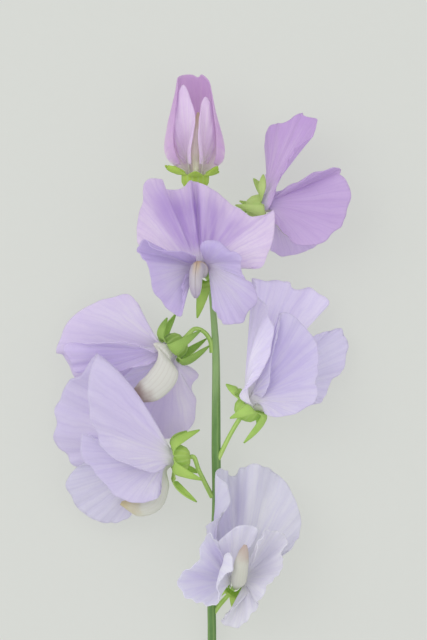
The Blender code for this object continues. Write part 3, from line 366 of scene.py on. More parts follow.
def rim_points(rim, throat):
    """The margin's points, and how far each rib bows out on its way there."""
    places = np.array([p[:3] for p in rim], float) + throat
    bows = np.array([p[3:] if len(p) > 3 else (0, 0, 0) for p in rim], float)
    return places, bows


for name, blossom in BLOSSOMS.items():
    print(name, "faces", axes(blossom)[2].round(2), "with its standard toward", axes(blossom)[3].round(2))

# %% The claw that a petal stands on
STANDARD_CLAW = dict(middle=0, half=112, foot=2.9, lip=3.6, flare=4.6, reach=1.6)
WING_CLAW = dict(middle=75, half=41, foot=1.9, lip=2.4, flare=2.9, reach=3.7)
CLAW_LENGTH = 4.6
QUARTERS = (0.25, 0.75)
FAR_PULL = 0.62
print("a standard's claw spreads", 2 * STANDARD_CLAW["half"], "degrees, a wing's", 2 * WING_CLAW["half"])

# %% The ribs of a blade
def claw_spokes(blossom, part, rim, turn):
    """The way from the mouth's middle to each rib: over the top for a standard, at one side for a wing."""
    _, mouth, _, up, side = axes(blossom)
    claw = STANDARD_CLAW if part == "standard" else WING_CLAW
    low, high = through(rim, np.interp(QUARTERS, [0, 1], [0, len(rim) - 1]))
    if part == "standard":
        angle = claw["middle"] + claw["half"] * turn * np.sign((high - low) @ side)
    else:
        angle = claw["middle"] - claw["half"] * turn * np.sign((high - low) @ up)
        angle = angle * np.sign((rim.mean(axis=0) - mouth) @ side)
    return up * np.cos(np.radians(angle)) + side * np.sin(np.radians(angle))


def blade_ribs(blossom, part, ribs, rows):
    """A sheet of points: rows from the claw's foot to the margin, ribs from one side to the other."""
    throat, mouth, forward, _, _ = axes(blossom)
    rim, bows = rim_points(blossom[part], throat)
    claw = STANDARD_CLAW if part == "standard" else WING_CLAW
    spokes = claw_spokes(blossom, part, rim, np.linspace(-1, 1, ribs)[:, None])
    places = even_places(rim, ribs)
    start = mouth + spokes * claw["lip"]
    near = mouth + spokes * claw["flare"] + forward * claw["reach"]
    end = through(rim, places)
    far = near + (end - near) * FAR_PULL + through(bows, places)
    wave = ruffle(blossom, part, places / (len(rim) - 1), end, end - far)
    sheet = [mouth - forward * CLAW_LENGTH + spokes * claw["foot"]]
    for t in np.linspace(0, 1, rows):
        sheet.append(bezier(start, near, far, end, t) + wave * t**3)
    return np.array(sheet)


# %% [markdown]
# ## Waves and folds
#
# Old garden sweet peas had plain petals. In the frilled kinds the margin grows longer than the blade behind
# it, so it has to wave. A displacement texture would ripple the whole surface alike, while this one is
# strongest at the margin, dies out toward the claw, and follows the ribs.

# %% The waved margin
WING_RUFFLE, WING_START = 0.8, 0.37
SECOND_WAVE, SECOND_PACE = 0.4, 1.7


def ruffle(blossom, part, along, margin, rib):
    """How far the wavy margin stands out of the blade at each rib."""
    size, waves, start = blossom["ruffle"]
    if part != "standard":
        size, waves, start = size * WING_RUFFLE, waves * WING_RUFFLE, start + WING_START
    out_of_blade = unit(np.cross(np.gradient(margin, axis=0), rib))
    swing = np.sin(WHOLE_TURN * (waves * along + start))
    swing = swing + SECOND_WAVE * np.sin(WHOLE_TURN * (SECOND_PACE * waves * along + start))
    return out_of_blade * (size * swing * np.sin(np.pi * along)**0.5)[:, None]


test_blade = blade_ribs(BLOSSOMS["bottom"], "standard", 40, 16)
print("a coarse blade has", test_blade.shape[0], "rows of", test_blade.shape[1], "points")

# %% [markdown]
# ### Fine frills
#
# A young petal comes out of the bud crumpled and never lies quite flat. Four swings of different pace stand
# for that: frills and scallops at the margin, soft folds along the ribs, and a fine crinkle all over. They
# could be sculpted by hand, petal by petal. A seeded generator gives each petal its own, the same every time.

# %% A swing whose pace wanders
WANDER = 0.4
PACE_OF_WANDER = (1, 2.6)
PACE_OF_SWELL = (2, 3.4)


def swings(draw, across, waves, unevenness):
    """A sine across the petal whose pace wanders and whose height comes and goes."""
    wander = WANDER * np.sin(WHOLE_TURN * (across * draw.uniform(*PACE_OF_WANDER) + draw.random()))
    heights = np.sin(WHOLE_TURN * (draw.uniform(*PACE_OF_SWELL) * across + draw.random()))
    swell = 1 - unevenness + unevenness * heights
    return swell * np.sin(WHOLE_TURN * (waves * across + wander + draw.random()))


# %% Frills, scallops, folds and crinkles
FRILL = dict(size=0.42, waves=17, uneven=0.4, rise=6)
SCALLOP = dict(size=0.4, waves=11, uneven=0.5, rise=8)
FOLD = dict(size=0.5, waves=9, uneven=0.5, rise=1.5)
CRINKLE = dict(size=0.07, waves=31, uneven=0.3, slant=0.02)
STILL_ENDS = 4


def frilled(sheet, seed, spread):
    """The sheet with frills and scallops at its margin, soft folds along its ribs and fine crinkles."""
    draw = np.random.default_rng(seed)
    rows, ribs = sheet.shape[:2]
    across = np.linspace(0, 1, ribs)
    out = np.clip((np.arange(rows) - 1) / (rows - 2), 0, 1)[:, None]
    along_rib = np.gradient(sheet, axis=0)
    normal = unit(np.cross(np.gradient(sheet, axis=1), along_rib))
    ends = np.clip(np.sin(np.pi * across) * STILL_ENDS, 0, 1)

    def swing(kind, reach, places=across, wide=spread):
        return kind["size"] * reach * swings(draw, places, kind["waves"] * wide, kind["uneven"])

    lift = swing(FRILL, out**FRILL["rise"])
    lift = lift + swing(FOLD, (out * (1 - 0.5 * out))**FOLD["rise"])
    lift = lift + swing(CRINKLE, out * (1.3 - out), across + CRINKLE["slant"] * out, 1)
    stretch = swing(SCALLOP, out**SCALLOP["rise"])
    moved = normal * lift[..., None] + unit(along_rib) * stretch[..., None]
    return sheet + moved * (ends * spread)[:, None]


stirred = np.abs(frilled(test_blade, 1, 1.0) - test_blade).max()
print("frills move a blade by", round(stirred, 2), "millimetres at most")

# %% [markdown]
# ## From points to a petal
#
# A petal is about a third of a millimetre thick. The sheet becomes a mesh of quads, keeps its own blade
# coordinates (across the petal and out from the claw) as a UV map for the veins, and the Solidify modifier
# gives it two faces and an edge.

# %% Putting a piece in the place of its solid
def settle(piece, node):
    """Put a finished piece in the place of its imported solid."""
    bpy.context.scene.collection.objects.link(piece)
    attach(piece, "root")
    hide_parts(node)


# %% A mesh that knows its blade coordinates
def marked_mesh(name, points, faces, marks, finish):
    """A mesh from points in millimetres, with each point's own blade coordinates as its UV map."""
    mesh = bpy.data.meshes.new(name)
    mesh.from_pydata(laid(points).tolist(), [], faces)
    mesh.materials.append(finish)
    layer = mesh.uv_layers.new(name="blade")
    corners = np.array([loop.vertex_index for loop in mesh.loops])
    layer.data.foreach_set("uv", np.asarray(marks, np.float32)[corners].ravel())
    mesh.polygons.foreach_set("use_smooth", [len(face.vertices) == 4 for face in mesh.polygons])
    return mesh


# %% A sheet of points as a thin solid
BLADE_THICK = 0.34
SEPAL_THICK = 0.45


def thin_solid(name, points, faces, marks, thickness, finish):
    """A sheet of faces, made as thick as the tissue."""
    piece = bpy.data.objects.new(name, marked_mesh(name, points, faces, marks, finish))
    solid = piece.modifiers.new("thickness", "SOLIDIFY")
    solid.thickness = thickness * MM
    solid.offset = 0
    solid.use_even_offset = False
    return piece


def grid_faces(rows, columns, closed=False):
    """Quads between the rows of a grid of points. A closed grid joins its last column to its first."""
    faces = []
    for i in range(rows - 1):
        for j in range(columns if closed else columns - 1):
            k = (j + 1) % columns
            faces.append((i * columns + j, i * columns + k, (i + 1) * columns + k, (i + 1) * columns + j))
    return faces


def sheet_piece(name, sheet, thickness, finish):
    rows, columns = sheet.shape[:2]
    out, across = np.meshgrid(np.linspace(0, 1, rows), np.linspace(0, 1, columns), indexing="ij")
    marks = np.stack([across.ravel(), out.ravel()], axis=1)
    return thin_solid(name, sheet.reshape(-1, 3), grid_faces(rows, columns), marks, thickness, finish)


open_grid, closed_grid = grid_faces(3, 4), grid_faces(3, 4, closed=True)
print("faces between 3 rows of 4 points:", len(open_grid), "or, closed,", len(closed_grid))

# %% [markdown]
# ## Writing materials as sums
#
# A material in Blender is a tree of nodes. Linking dozens of Math nodes by hand hides what they say, so a
# small class stands for one output of a node: adding or multiplying two of them makes the Math node that does
# it. Every other kind of node comes from one method.

# %% Sockets that can be added up
class Wire:
    """One output of a node, which can be added and multiplied like a number."""

    tree = None

    def __init__(self, socket):
        self.socket = socket

    @classmethod
    def node(cls, kind, settings=None, inputs=None, out=0):
        """A node of this kind, its settings first, then the values or links of its sockets."""
        made = cls.tree.nodes.new("ShaderNode" + kind)
        for name, value in (settings or {}).items():
            setattr(made, name, value)
        for name, value in (inputs or {}).items():
            if isinstance(value, Wire):
                cls.tree.links.new(value.socket, made.inputs[name])
            else:
                made.inputs[name].default_value = value
        return cls(made.outputs[out]) if made.outputs else None

    def maths(self, operation, *others):
        inputs = {k: value for k, value in enumerate((self, *others))}
        return Wire.node("Math", {"operation": operation}, inputs)

    def __add__(self, other):
        return self.maths("ADD", other)

    def __mul__(self, other):
        return self.maths("MULTIPLY", other)

    def __sub__(self, other):
        return self.maths("SUBTRACT", other)

    def __rsub__(self, other):
        return Wire.node("Math", {"operation": "SUBTRACT"}, {0: other, 1: self})

    def __pow__(self, other):
        return self.maths("POWER", other)

    def __abs__(self):
        return self.maths("ABSOLUTE")

    __radd__ = __add__
    __rmul__ = __mul__

    def wave(self):
        """A sine of this value, counted in whole turns and kept between 0 and 1."""
        return (self * WHOLE_TURN).maths("SINE") * 0.5 + 0.5

    def between(self, low, high):
        """0 below low, 1 above high, and a smooth rise between them."""
        settings = {"interpolation_type": "SMOOTHSTEP"}
        return Wire.node("MapRange", settings, {"Value": self, "From Min": low, "From Max": high})


# %% Colours
def blend(share, first, second):
    """A colour on its way from the first to the second."""
    return Wire.node("Mix", {"data_type": "RGBA"}, {0: share, 6: first, 7: second}, out=2)


def tint(red, green, blue):
    """A colour named by its screen values from 0 to 255, as the linear light that shaders add up."""
    parts = [value / 255 for value in (red, green, blue)]
    return (*[p / 12.92 if p <= 0.04045 else ((p + 0.055) / 1.055)**2.4 for p in parts], 1.0)


print("a mid grey screen value of 128 is", round(tint(128, 128, 128)[0], 3), "of full light")

# %% What every finish needs
def start_finish(name):
    """An empty material, ready for its nodes."""
    made = bpy.data.materials.new(name)
    made.use_nodes = True
    made.node_tree.nodes.clear()
    Wire.tree = made.node_tree
    return made


def grain(place, scale, detail=2.0):
    """Noise with features about one unit of 1/scale across, from 0 to 1."""
    return Wire.node("TexNoise", {}, {"Vector": place, "Scale": scale, "Detail": detail})


def blade_place():
    """How far across and how far outward a point of the tissue lies, and its place in space."""
    marks = Wire.node("UVMap", {"uv_map": "blade"})
    across = Wire.node("SeparateXYZ", {}, {0: marks}, out=0)
    outward = Wire.node("SeparateXYZ", {}, {0: marks}, out=1)
    return across, outward, Wire.node("TexCoord", out=3)


def relief(height, strength, depth):
    """Small relief on the surface, as deep as depth in metres."""
    return Wire.node("Bump", {}, {"Height": height, "Strength": strength, "Distance": depth})


def lit_through(skin, share, glow):
    """The skin, mixed with the light that comes through it from behind."""
    light = Wire.node("BsdfTranslucent", {}, {"Color": glow})
    return Wire.node("MixShader", {}, {0: share, 1: skin, 2: light})


def finished(made, surface):
    """The material, with this surface at its end."""
    Wire.node("OutputMaterial", {}, {"Surface": surface})
    return made


# %% [markdown]
# ## Petal tissue
#
# A petal is a few layers of cells around water and air: it scatters light, glows where light comes from
# behind, and has fine veins that fan from the claw and fork on the way out. Toward the claw it is almost
# white, and the frilled margin holds more colour. A picture of a petal could be laid on, but veins that are
# computed from the blade coordinates stay sharp at any distance and follow every fold. Each tissue here
# also gives off a faint light in its own colour: a painted glow that lifts its shaded parts.

# %% Veins
BEND = dict(scale=90, size=0.05)
MAIN_VEINS = dict(count=26, thin=9, share=0.8)
FORKED_VEINS = dict(count=61, thin=7, bend=0.7, slant=0.02, share=0.6)
NET = dict(scale=420, width=0.12, share=0.3)
FORK_ZONE = (0.3, 0.7)
VEINS_AT_CLAW, VEINS_FADE = 1.1, 0.4


def petal_veins(across, outward, place, bend):
    """Main veins from the claw, veins that fork off them, and a fine net between."""
    main = ((across + bend) * MAIN_VEINS["count"]).wave() ** MAIN_VEINS["thin"]
    forked = across + bend * FORKED_VEINS["bend"] + outward * FORKED_VEINS["slant"]
    forked = (forked * FORKED_VEINS["count"]).wave() ** FORKED_VEINS["thin"] * outward.between(*FORK_ZONE)
    cells = Wire.node("TexVoronoi", {"feature": "DISTANCE_TO_EDGE"}, {"Vector": place, "Scale": NET["scale"]})
    net = (1 - cells.between(0.0, NET["width"])) * outward.between(*FORK_ZONE)
    veins = main * MAIN_VEINS["share"] + forked * FORKED_VEINS["share"] + net * NET["share"]
    return veins * (VEINS_AT_CLAW - outward * VEINS_FADE)


# %% Veined petal
# Painted glow: every tissue gives off a faint light in its own colour, so that its shaded parts look lit.
PAINTED_GLOW = 0.06
VEINS_SHARE = 0.36
STREAKS = dict(count=34, pace=2.2, edge=(0.35, 0.68), zone=(0.2, 0.6), share=0.2)
CLOUD = dict(scale=55, edge=(0.35, 0.65), share=0.16)
HEART = dict(width=(0.6, 1.0), zone=(0.18, 0.42), bend=0.8, least=0.6)
THROAT_END, THROAT_LEAST = 0.06, 0.7
MARGIN_ZONE, MARGIN_SHARE = (0.7, 1.0), 0.7
CLEAR_AT_CLAW, CLEAR_FADE, CLEAR_ZONE = 0.5, 0.18, (0.08, 0.45)
PETAL_CELLS = 2600
PETAL_RELIEF = dict(strength=0.3, depth=0.00014)


def at_least(least, share):
    """The share, lifted so that it never falls below the least."""
    return least + share * (1 - least)


def petal_finish(name, throat, blade, heart, margin, vein, glow, crease=0.5, pale_to=0.46, scatter=PAINTED_GLOW):
    """Petal tissue: the throat's colour, then the blade's with a deeper heart, then the margin's."""
    made = start_finish(name)
    across, outward, place = blade_place()
    bend = grain(place, BEND["scale"]) * BEND["size"]
    veins = petal_veins(across, outward, place, bend)
    cloud = grain(place, CLOUD["scale"], 3).between(*CLOUD["edge"])
    long_way = Wire.node("CombineXYZ", {}, {0: across * STREAKS["count"], 1: outward * STREAKS["pace"]})
    streaks = grain(long_way, 1, 3).between(*STREAKS["edge"])
    near_crease = 1 - ((across + bend * HEART["bend"] - crease) * 2) ** 2
    deep = near_crease.between(*HEART["width"]) * outward.between(*HEART["zone"])
    past_throat = outward.between(THROAT_END, pale_to) * at_least(THROAT_LEAST, streaks)
    streaked = streaks * outward.between(*STREAKS["zone"]) * STREAKS["share"]
    tone = blend(past_throat, throat, blade)
    tone = blend(deep * at_least(HEART["least"], streaks), tone, heart)
    tone = blend(outward.between(*MARGIN_ZONE) * MARGIN_SHARE + cloud * CLOUD["share"], tone, margin)
    tone = blend(veins * VEINS_SHARE + streaked, tone, vein)
    cells = grain(place, PETAL_CELLS)
    skin = Wire.node("BsdfPrincipled", {}, {
        "Base Color": tone, "Roughness": 0.50 + cells * 0.16,
        "Normal": relief(veins * 0.5 + streaks * 0.6 + cells * 0.25, **PETAL_RELIEF),
        "Specular IOR Level": 0.28, "Sheen Weight": 0.12, "Sheen Roughness": 0.4,
        # Painted glow: the petal gives off light in its own colour, to lift its shade.
        "Emission Color": tone, "Emission Strength": scatter,
    })
    clear = CLEAR_AT_CLAW - outward.between(*CLEAR_ZONE) * CLEAR_FADE
    return finished(made, lit_through(skin, clear, glow))


# %% [markdown]
# ### Colours
#
# A sweet pea of this kind opens pink and fades through mauve and lilac to almost white, so every blossom has
# its own colours. Five tones make a petal: its throat, blade, heart, margin and veins. One material that
# takes its colour from the height on the stem would be shorter, but real petals differ, and so do these.

# %% Colours of each blossom, from the pink bud to the palest one
PINK_GLOW = tint(234, 214, 238)
MAUVE_GLOW = tint(232, 218, 248)
LILAC_GLOW = tint(238, 234, 250)
PALE_GLOW = tint(242, 242, 250)


def petal_tones(throat, blade, heart, margin, vein, **others):
    named = dict(throat=throat, blade=blade, heart=heart, margin=margin, vein=vein)
    return {name: tint(*shade) for name, shade in named.items()} | others


def keel_tones(base, tip, seam, glow):
    return dict(base=tint(*base), tip=tint(*tip), seam=tint(*seam), glow=tint(*glow))


CREAM = (240, 240, 230)
WHITISH = (242, 240, 246)
# Some petals carry a larger painted glow as their last setting: the bud and petals that lie deep in shade, to
# lift that shade.
PALETTE = {
    "bud": dict(
        frill=0.35, glow=PINK_GLOW,
        standard=petal_tones((234, 246, 214), (228, 206, 231), (224, 196, 227),
                             (198, 162, 206), (200, 170, 210), pale_to=0.64, scatter=0.15),
        left_wing=petal_tones((238, 250, 218), (234, 218, 239), (234, 220, 239),
                              (228, 208, 236), (214, 192, 226), pale_to=0.64, scatter=0.12),
        right_wing=petal_tones((238, 250, 218), (236, 220, 239), (236, 220, 239),
                               (230, 210, 236), (214, 192, 226), pale_to=0.64, scatter=0.12),
        keel=keel_tones((246, 243, 232), (222, 208, 170), (240, 232, 206), (246, 242, 232))),
    "top_front": dict(
        frill=1.0, glow=MAUVE_GLOW,
        standard=petal_tones((240, 236, 243), (240, 227, 241), (172, 134, 210),
                             (236, 221, 239), (198, 174, 222), pale_to=0.56),
        # Painted shade: the front wings' throats and the front keel are greyed for the shade in the hollow
        # between the wings.
        left_wing=petal_tones((212, 210, 212), (216, 206, 234), (198, 180, 226),
                              (208, 192, 230), (190, 176, 216), pale_to=0.85, crease=0.1),
        right_wing=petal_tones((216, 215, 216), (218, 209, 236), (196, 182, 228),
                               (214, 202, 234), (192, 178, 218), pale_to=0.85, crease=0.1),
        keel=keel_tones((216, 211, 216), (206, 195, 216), (228, 198, 138), (228, 222, 228))),
    "top_right": dict(
        frill=0.9, glow=MAUVE_GLOW,
        standard=petal_tones(WHITISH, (217, 190, 228), (213, 184, 226), (206, 173, 222), (190, 159, 214)),
        left_wing=petal_tones((216, 204, 232), (211, 187, 224), (207, 181, 222),
                              (211, 187, 224), (186, 159, 210)),
        right_wing=petal_tones(WHITISH, (222, 208, 234), (220, 204, 234), (220, 202, 234), (200, 180, 222)),
        keel=keel_tones((232, 230, 224), (214, 202, 200), (232, 226, 216), (234, 230, 222))),
    "upper_left": dict(
        frill=1.0, glow=LILAC_GLOW,
        standard=petal_tones(CREAM, (230, 220, 240), (224, 212, 238), (228, 214, 240), (208, 194, 230)),
        left_wing=petal_tones(CREAM, (228, 218, 241), (218, 204, 238), (222, 208, 238), (204, 188, 230)),
        right_wing=petal_tones(CREAM, (232, 226, 243), (228, 220, 242),
                               (226, 218, 240), (212, 202, 232), scatter=0.13),
        keel=keel_tones((234, 234, 229), (156, 122, 114), (232, 230, 222), (238, 237, 230))),
    "lower_left": dict(
        frill=1.2, glow=LILAC_GLOW,
        standard=petal_tones(CREAM, (227, 219, 238), (222, 212, 237), (221, 213, 236), (200, 189, 224)),
        left_wing=petal_tones(CREAM, (228, 222, 239), (226, 219, 239), (220, 212, 236), (204, 195, 226)),
        right_wing=petal_tones(CREAM, (224, 221, 232), (224, 221, 234), (216, 213, 228), (198, 192, 218)),
        keel=keel_tones((234, 235, 228), (214, 200, 160), (232, 230, 220), (236, 236, 228))),
    "middle_right": dict(
        frill=1.2, glow=LILAC_GLOW,
        standard=petal_tones(CREAM, (240, 235, 247), (232, 224, 243),
                             (231, 223, 244), (208, 197, 232), scatter=0.12),
        left_wing=petal_tones(CREAM, (222, 214, 236), (206, 193, 232), (224, 217, 238), (198, 187, 226)),
        right_wing=petal_tones(CREAM, (231, 227, 243), (230, 226, 243), (226, 219, 241), (208, 200, 231)),
        keel=keel_tones((234, 235, 228), (206, 190, 184), (232, 230, 220), (236, 236, 228))),
    "bottom": dict(
        frill=1.4, glow=PALE_GLOW,
        # Painted shade: the crease setting moves this standard's deeper heart toward its folded left side,
        # where the folds lie in shade.
        standard=petal_tones(CREAM, (223, 221, 231), (206, 196, 228),
                             (222, 220, 231), (204, 198, 224), crease=0.3),
        left_wing=petal_tones(CREAM, (238, 236, 244), (214, 203, 237), (236, 234, 244), (212, 205, 234)),
        right_wing=petal_tones(CREAM, (236, 234, 239), (224, 220, 234), (234, 232, 239), (212, 206, 228)),
        keel=keel_tones((226, 227, 218), (200, 174, 168), (234, 234, 224), (240, 240, 232))),
}
print("the bud's standard, at its blade:", [round(part, 2) for part in PALETTE["bud"]["standard"]["blade"]])

# %% [markdown]
# ## Standards and wings
#
# The standard is the big petal that stands up behind a blossom, with a crease down its middle; the wings hang
# in front of it on either side of the keel. Both are blades, so one loop makes them all.

# %% The petals
RIBS = dict(standard=130, left_wing=104, right_wing=104)
ROWS = dict(standard=50, left_wing=44, right_wing=44)
FIRST_SEED = 101
seeds = iter(range(FIRST_SEED, FIRST_SEED + len(BLOSSOMS) * len(RIBS)))
for name, blossom in BLOSSOMS.items():
    tones = PALETTE[name]
    for part, ribs in RIBS.items():
        finish = petal_finish(f"{name}_{part}_tissue", glow=tones["glow"], **tones[part])
        sheet = frilled(blade_ribs(blossom, part, ribs, ROWS[part]), next(seeds), tones["frill"])
        piece = sheet_piece(f"{name}_{part}_petal", sheet, BLADE_THICK, finish)
        settle(piece, f"{name}_{part}")
print("petals made:", len(BLOSSOMS) * len(RIBS))

# %% [markdown]
# ## The keel
#
# The keel is two petals grown together along their lower edge into a small boat, cream white with a tinted
# tip, and it hides the stamens. It is made round a line, like a gutter that closes toward its tip.

# %% The line of the keel
KEEL_ROOT = 3.2
KEEL_DROP = 1.7
KEEL_TURNED = 0.2
KEEL_OPENS = (0, 3.2, 6, 9)
KEEL_WIDENING = (0.34, 0.5, 0.82, 1.0)
KEEL_DEEPENING = (0.16, 0.4, 0.82, 1.0)
KEEL_TAPER = ((0.6, 1.0), (0.8, 0.9), (0.93, 0.6), (1.0, 0.16))


def keel_line(blossom, count):
    """Evenly spaced points on the keel's seam, with the ways to its open edge and out to its side."""
    keel = blossom["keel"]
    throat, mouth, forward, up, _ = axes(blossom)
    root = mouth - forward * KEEL_ROOT - up * KEEL_DROP
    spine = np.vstack([root, np.array(keel["spine"], float) + throat])
    line = through(spine, even_places(spine, count))
    ahead = unit(np.gradient(line, axis=0))
    stations = np.linspace(0, 1, count)
    turned = np.clip(stations / keel.get("turned", KEEL_TURNED), 0, 1)[:, None]
    opening = up * (1 - turned) + unit(keel["open"]) * turned
    square = 1 - keel.get("slanted", 0)
    opening = unit(opening - square * ahead * np.sum(ahead * opening, axis=1, keepdims=True))
    run = stations * np.linalg.norm(np.diff(line, axis=0), axis=1).sum()
    taper = np.interp(stations, *zip(*KEEL_TAPER))
    wide = keel["wide"] * taper * np.interp(run, KEEL_OPENS, KEEL_WIDENING)
    deep = keel["deep"] * taper * np.interp(run, KEEL_OPENS, KEEL_DEEPENING)
    return line, opening * deep[:, None], np.cross(ahead, opening) * wide[:, None]


for name, blossom in BLOSSOMS.items():
    steps = np.diff(keel_line(blossom, 40)[0], axis=0)
    print(f"{name}: a keel", round(np.linalg.norm(steps, axis=1).sum()), "millimetres long")

# %% The boat, and the column in it
KEEL_SLIT = 178.8
COLUMN_LIFT = 0.45
COLUMN_POINTS = 10
COLUMN_FROM, COLUMN_TO = 3, 8


def keel_sheet(blossom, count, around):
    """Rows across the boat-shaped keel, from one free edge round the seam to the other."""
    line, opening, side = keel_line(blossom, count)
    turn = np.radians(np.linspace(-KEEL_SLIT, KEEL_SLIT, around))[:, None]
    lift = (1 - np.cos(turn)) / (1 - math.cos(math.radians(KEEL_SLIT)))
    return np.array([line[i] + opening[i] * lift + side[i] * np.sin(turn) for i in range(count)])


def stamen_line(blossom):
    """The stamen column's middle line, inside the keel."""
    line, opening, _ = keel_line(blossom, COLUMN_POINTS)
    return (line + opening * COLUMN_LIFT)[COLUMN_FROM:COLUMN_TO]


# %% [markdown]
# ### Keel tissue
#
# The keel is thicker and waxier than the other petals. It has faint lines along it, often a stained tip, and
# a warm line where its two edges meet. The marks could be painted on, keel by keel. Here they are sums of the
# keel's own coordinates, so they stay on the seam and the tip of every keel.

# %% Waxy tissue with a seam and a stain
KEEL_LINES = dict(count=18, wander=0.7, scale=160, thin=6, share=0.14)
STAIN = dict(scale=300, wander=0.22, zone=(0.82, 1.12))
SEAM = dict(width=(0.05, 0.26), ends=(0.45, 0.75), share=0.8)
KEEL_CELLS = 2400
KEEL_CLEAR = 0.4
KEEL_RELIEF = dict(strength=0.2, depth=0.0001)


def keel_finish(name, base, tip, seam, glow):
    """Waxy cream tissue with a stained tip and a tinted line where its two edges meet."""
    made = start_finish(name)
    across, outward, place = blade_place()
    wander = grain(place, KEEL_LINES["scale"]) * KEEL_LINES["wander"]
    lines = (across * KEEL_LINES["count"] + wander).wave() ** KEEL_LINES["thin"]
    stain = (outward + grain(place, STAIN["scale"], 3) * STAIN["wander"]).between(*STAIN["zone"])
    from_seam = 1 - abs(across - 0.5) * 2
    streak = (1 - from_seam.between(*SEAM["width"])) * (1 - outward.between(*SEAM["ends"]))
    tone = blend(lines * KEEL_LINES["share"], base, tip)
    tone = blend(streak * SEAM["share"], tone, seam)
    tone = blend(stain, tone, tip)
    cells = grain(place, KEEL_CELLS)
    skin = Wire.node("BsdfPrincipled", {}, {
        "Base Color": tone, "Roughness": 0.42 + cells * 0.15,
        "Normal": relief(lines * 0.4 + cells * 0.3, **KEEL_RELIEF), "Specular IOR Level": 0.35,
        # Painted glow: the keel gives off light in its own colour, to lift its shade.
        "Emission Color": tone, "Emission Strength": PAINTED_GLOW,
    })
    return finished(made, lit_through(skin, KEEL_CLEAR, glow))


# %% The keels
KEEL_ALONG, KEEL_ROUND = 40, 34
for name, blossom in BLOSSOMS.items():
    finish = keel_finish(f"{name}_keel_tissue", **PALETTE[name]["keel"])
    sheet = keel_sheet(blossom, KEEL_ALONG, KEEL_ROUND)
    settle(sheet_piece(f"{name}_keel_boat", sheet, BLADE_THICK, finish), f"{name}_keel")
print("keels made:", len(BLOSSOMS))

# %% [markdown]
# ## Stamens
#
# Nine of a sweet pea's ten filaments are joined into a tube round the pistil, and their ends are free and
# carry yellow anthers. Each filament could be a curve of its own, but a keel that gapes shows no more than a
# tapering column with a knot of anthers at its end, and one swept tube gives that.

# %% A smooth tube along a line
TUBE_START = (0.1, 0.2, 1.0)
TUBE_FLUTES = 5


def tube(points, radii, around, along, ribbed=0.0):
    """Rings of points round a smooth line."""
    points = np.array(points, float)
    places = even_places(points, along)
    line = through(points, places)
    radius = np.interp(places, np.arange(len(radii)), radii)
    ahead = unit(np.gradient(line, axis=0))
    side = unit(np.cross(ahead, TUBE_START))
    up = np.cross(side, ahead)
    turn = np.linspace(0, WHOLE_TURN, around, endpoint=False)
    swell = 1 + ribbed * np.cos(TUBE_FLUTES * turn)
    sideways, upward = np.cos(turn) * swell, np.sin(turn) * swell
    return np.array([line[k] + (np.outer(sideways, side[k]) + np.outer(upward, up[k])) * radius[k]
                     for k in range(along)])


# %% A tube as a closed piece
def rod(name, rings, finish):
    """A tube's rings as a piece with closed ends, marked by turn and by length."""
    along, around = rings.shape[:2]
    last = (along - 1) * around
    faces = grid_faces(along, around, closed=True)
    faces += [tuple(reversed(range(around))), tuple(range(last, last + around))]
    marks = [(j / around, i / (along - 1)) for i in range(along) for j in range(around)]
    return bpy.data.objects.new(name, marked_mesh(name, rings.reshape(-1, 3), faces, marks, finish))


# %% Anthers and filaments
FILAMENT, ANTHER, POLLEN = tint(226, 226, 200), tint(232, 208, 150), tint(214, 178, 112)
ANTHER_ZONE = (0.6, 0.85)
POLLEN_SCALE, POLLEN_EDGE = 2200, (0.5, 0.7)
POLLEN_RELIEF = dict(strength=0.5, depth=0.0002)


def stamen_finish(name):
    """Pale filaments that turn into yellow anthers, dusted with pollen."""
    made = start_finish(name)
    _, outward, place = blade_place()
    dust = grain(place, POLLEN_SCALE, 3)
    tone = blend(outward.between(*ANTHER_ZONE), FILAMENT, ANTHER)
    tone = blend(dust.between(*POLLEN_EDGE) * 0.5, tone, POLLEN)
    skin = Wire.node("BsdfPrincipled", {}, {
        "Base Color": tone, "Roughness": 0.6 + dust * 0.3, "Normal": relief(dust, **POLLEN_RELIEF),
    })
    return finished(made, skin)


# %% The stamen columns
STAMEN_RADII = (0.46, 0.46, 0.46, 0.44, 0.62, 0.5)
FULL_KEEL = 2.4
pollen = stamen_finish("stamen_tissue")
for name, blossom in BLOSSOMS.items():
    share = blossom["keel"]["wide"] / FULL_KEEL
    radii = [radius * share for radius in STAMEN_RADII]
    rings = tube(stamen_line(blossom), radii, around=14, along=30)
    settle(rod(f"{name}_stamen_column", rings, pollen), f"{name}_stamens")
print("stamen columns made:", len(BLOSSOMS))

# %% [markdown]
# ## The calyx
#
# Five sepals are joined into a cup at the bottom and end in five green points. The cup is a few rings; each
# sepal starts on its share of the rim and narrows to its tip, so that cup and sepals are one piece of tissue.

# %% The sepals
SEPAL_SHAPE = ((0, 1.0), (0.25, 0.82), (0.5, 0.66), (0.76, 0.4), (0.92, 0.18), (1.0, 0.05))
SEPAL_TWIST = 0.8
SEPAL_FORWARD, SEPAL_OUTWARD, SEPAL_PULL = 0.16, 0.22, 0.55
SEPAL_HOLLOW = 0.7
SEPAL_ROWS = 14
RIM_FADE = 0.25
LITTLE_STEP = 0.05


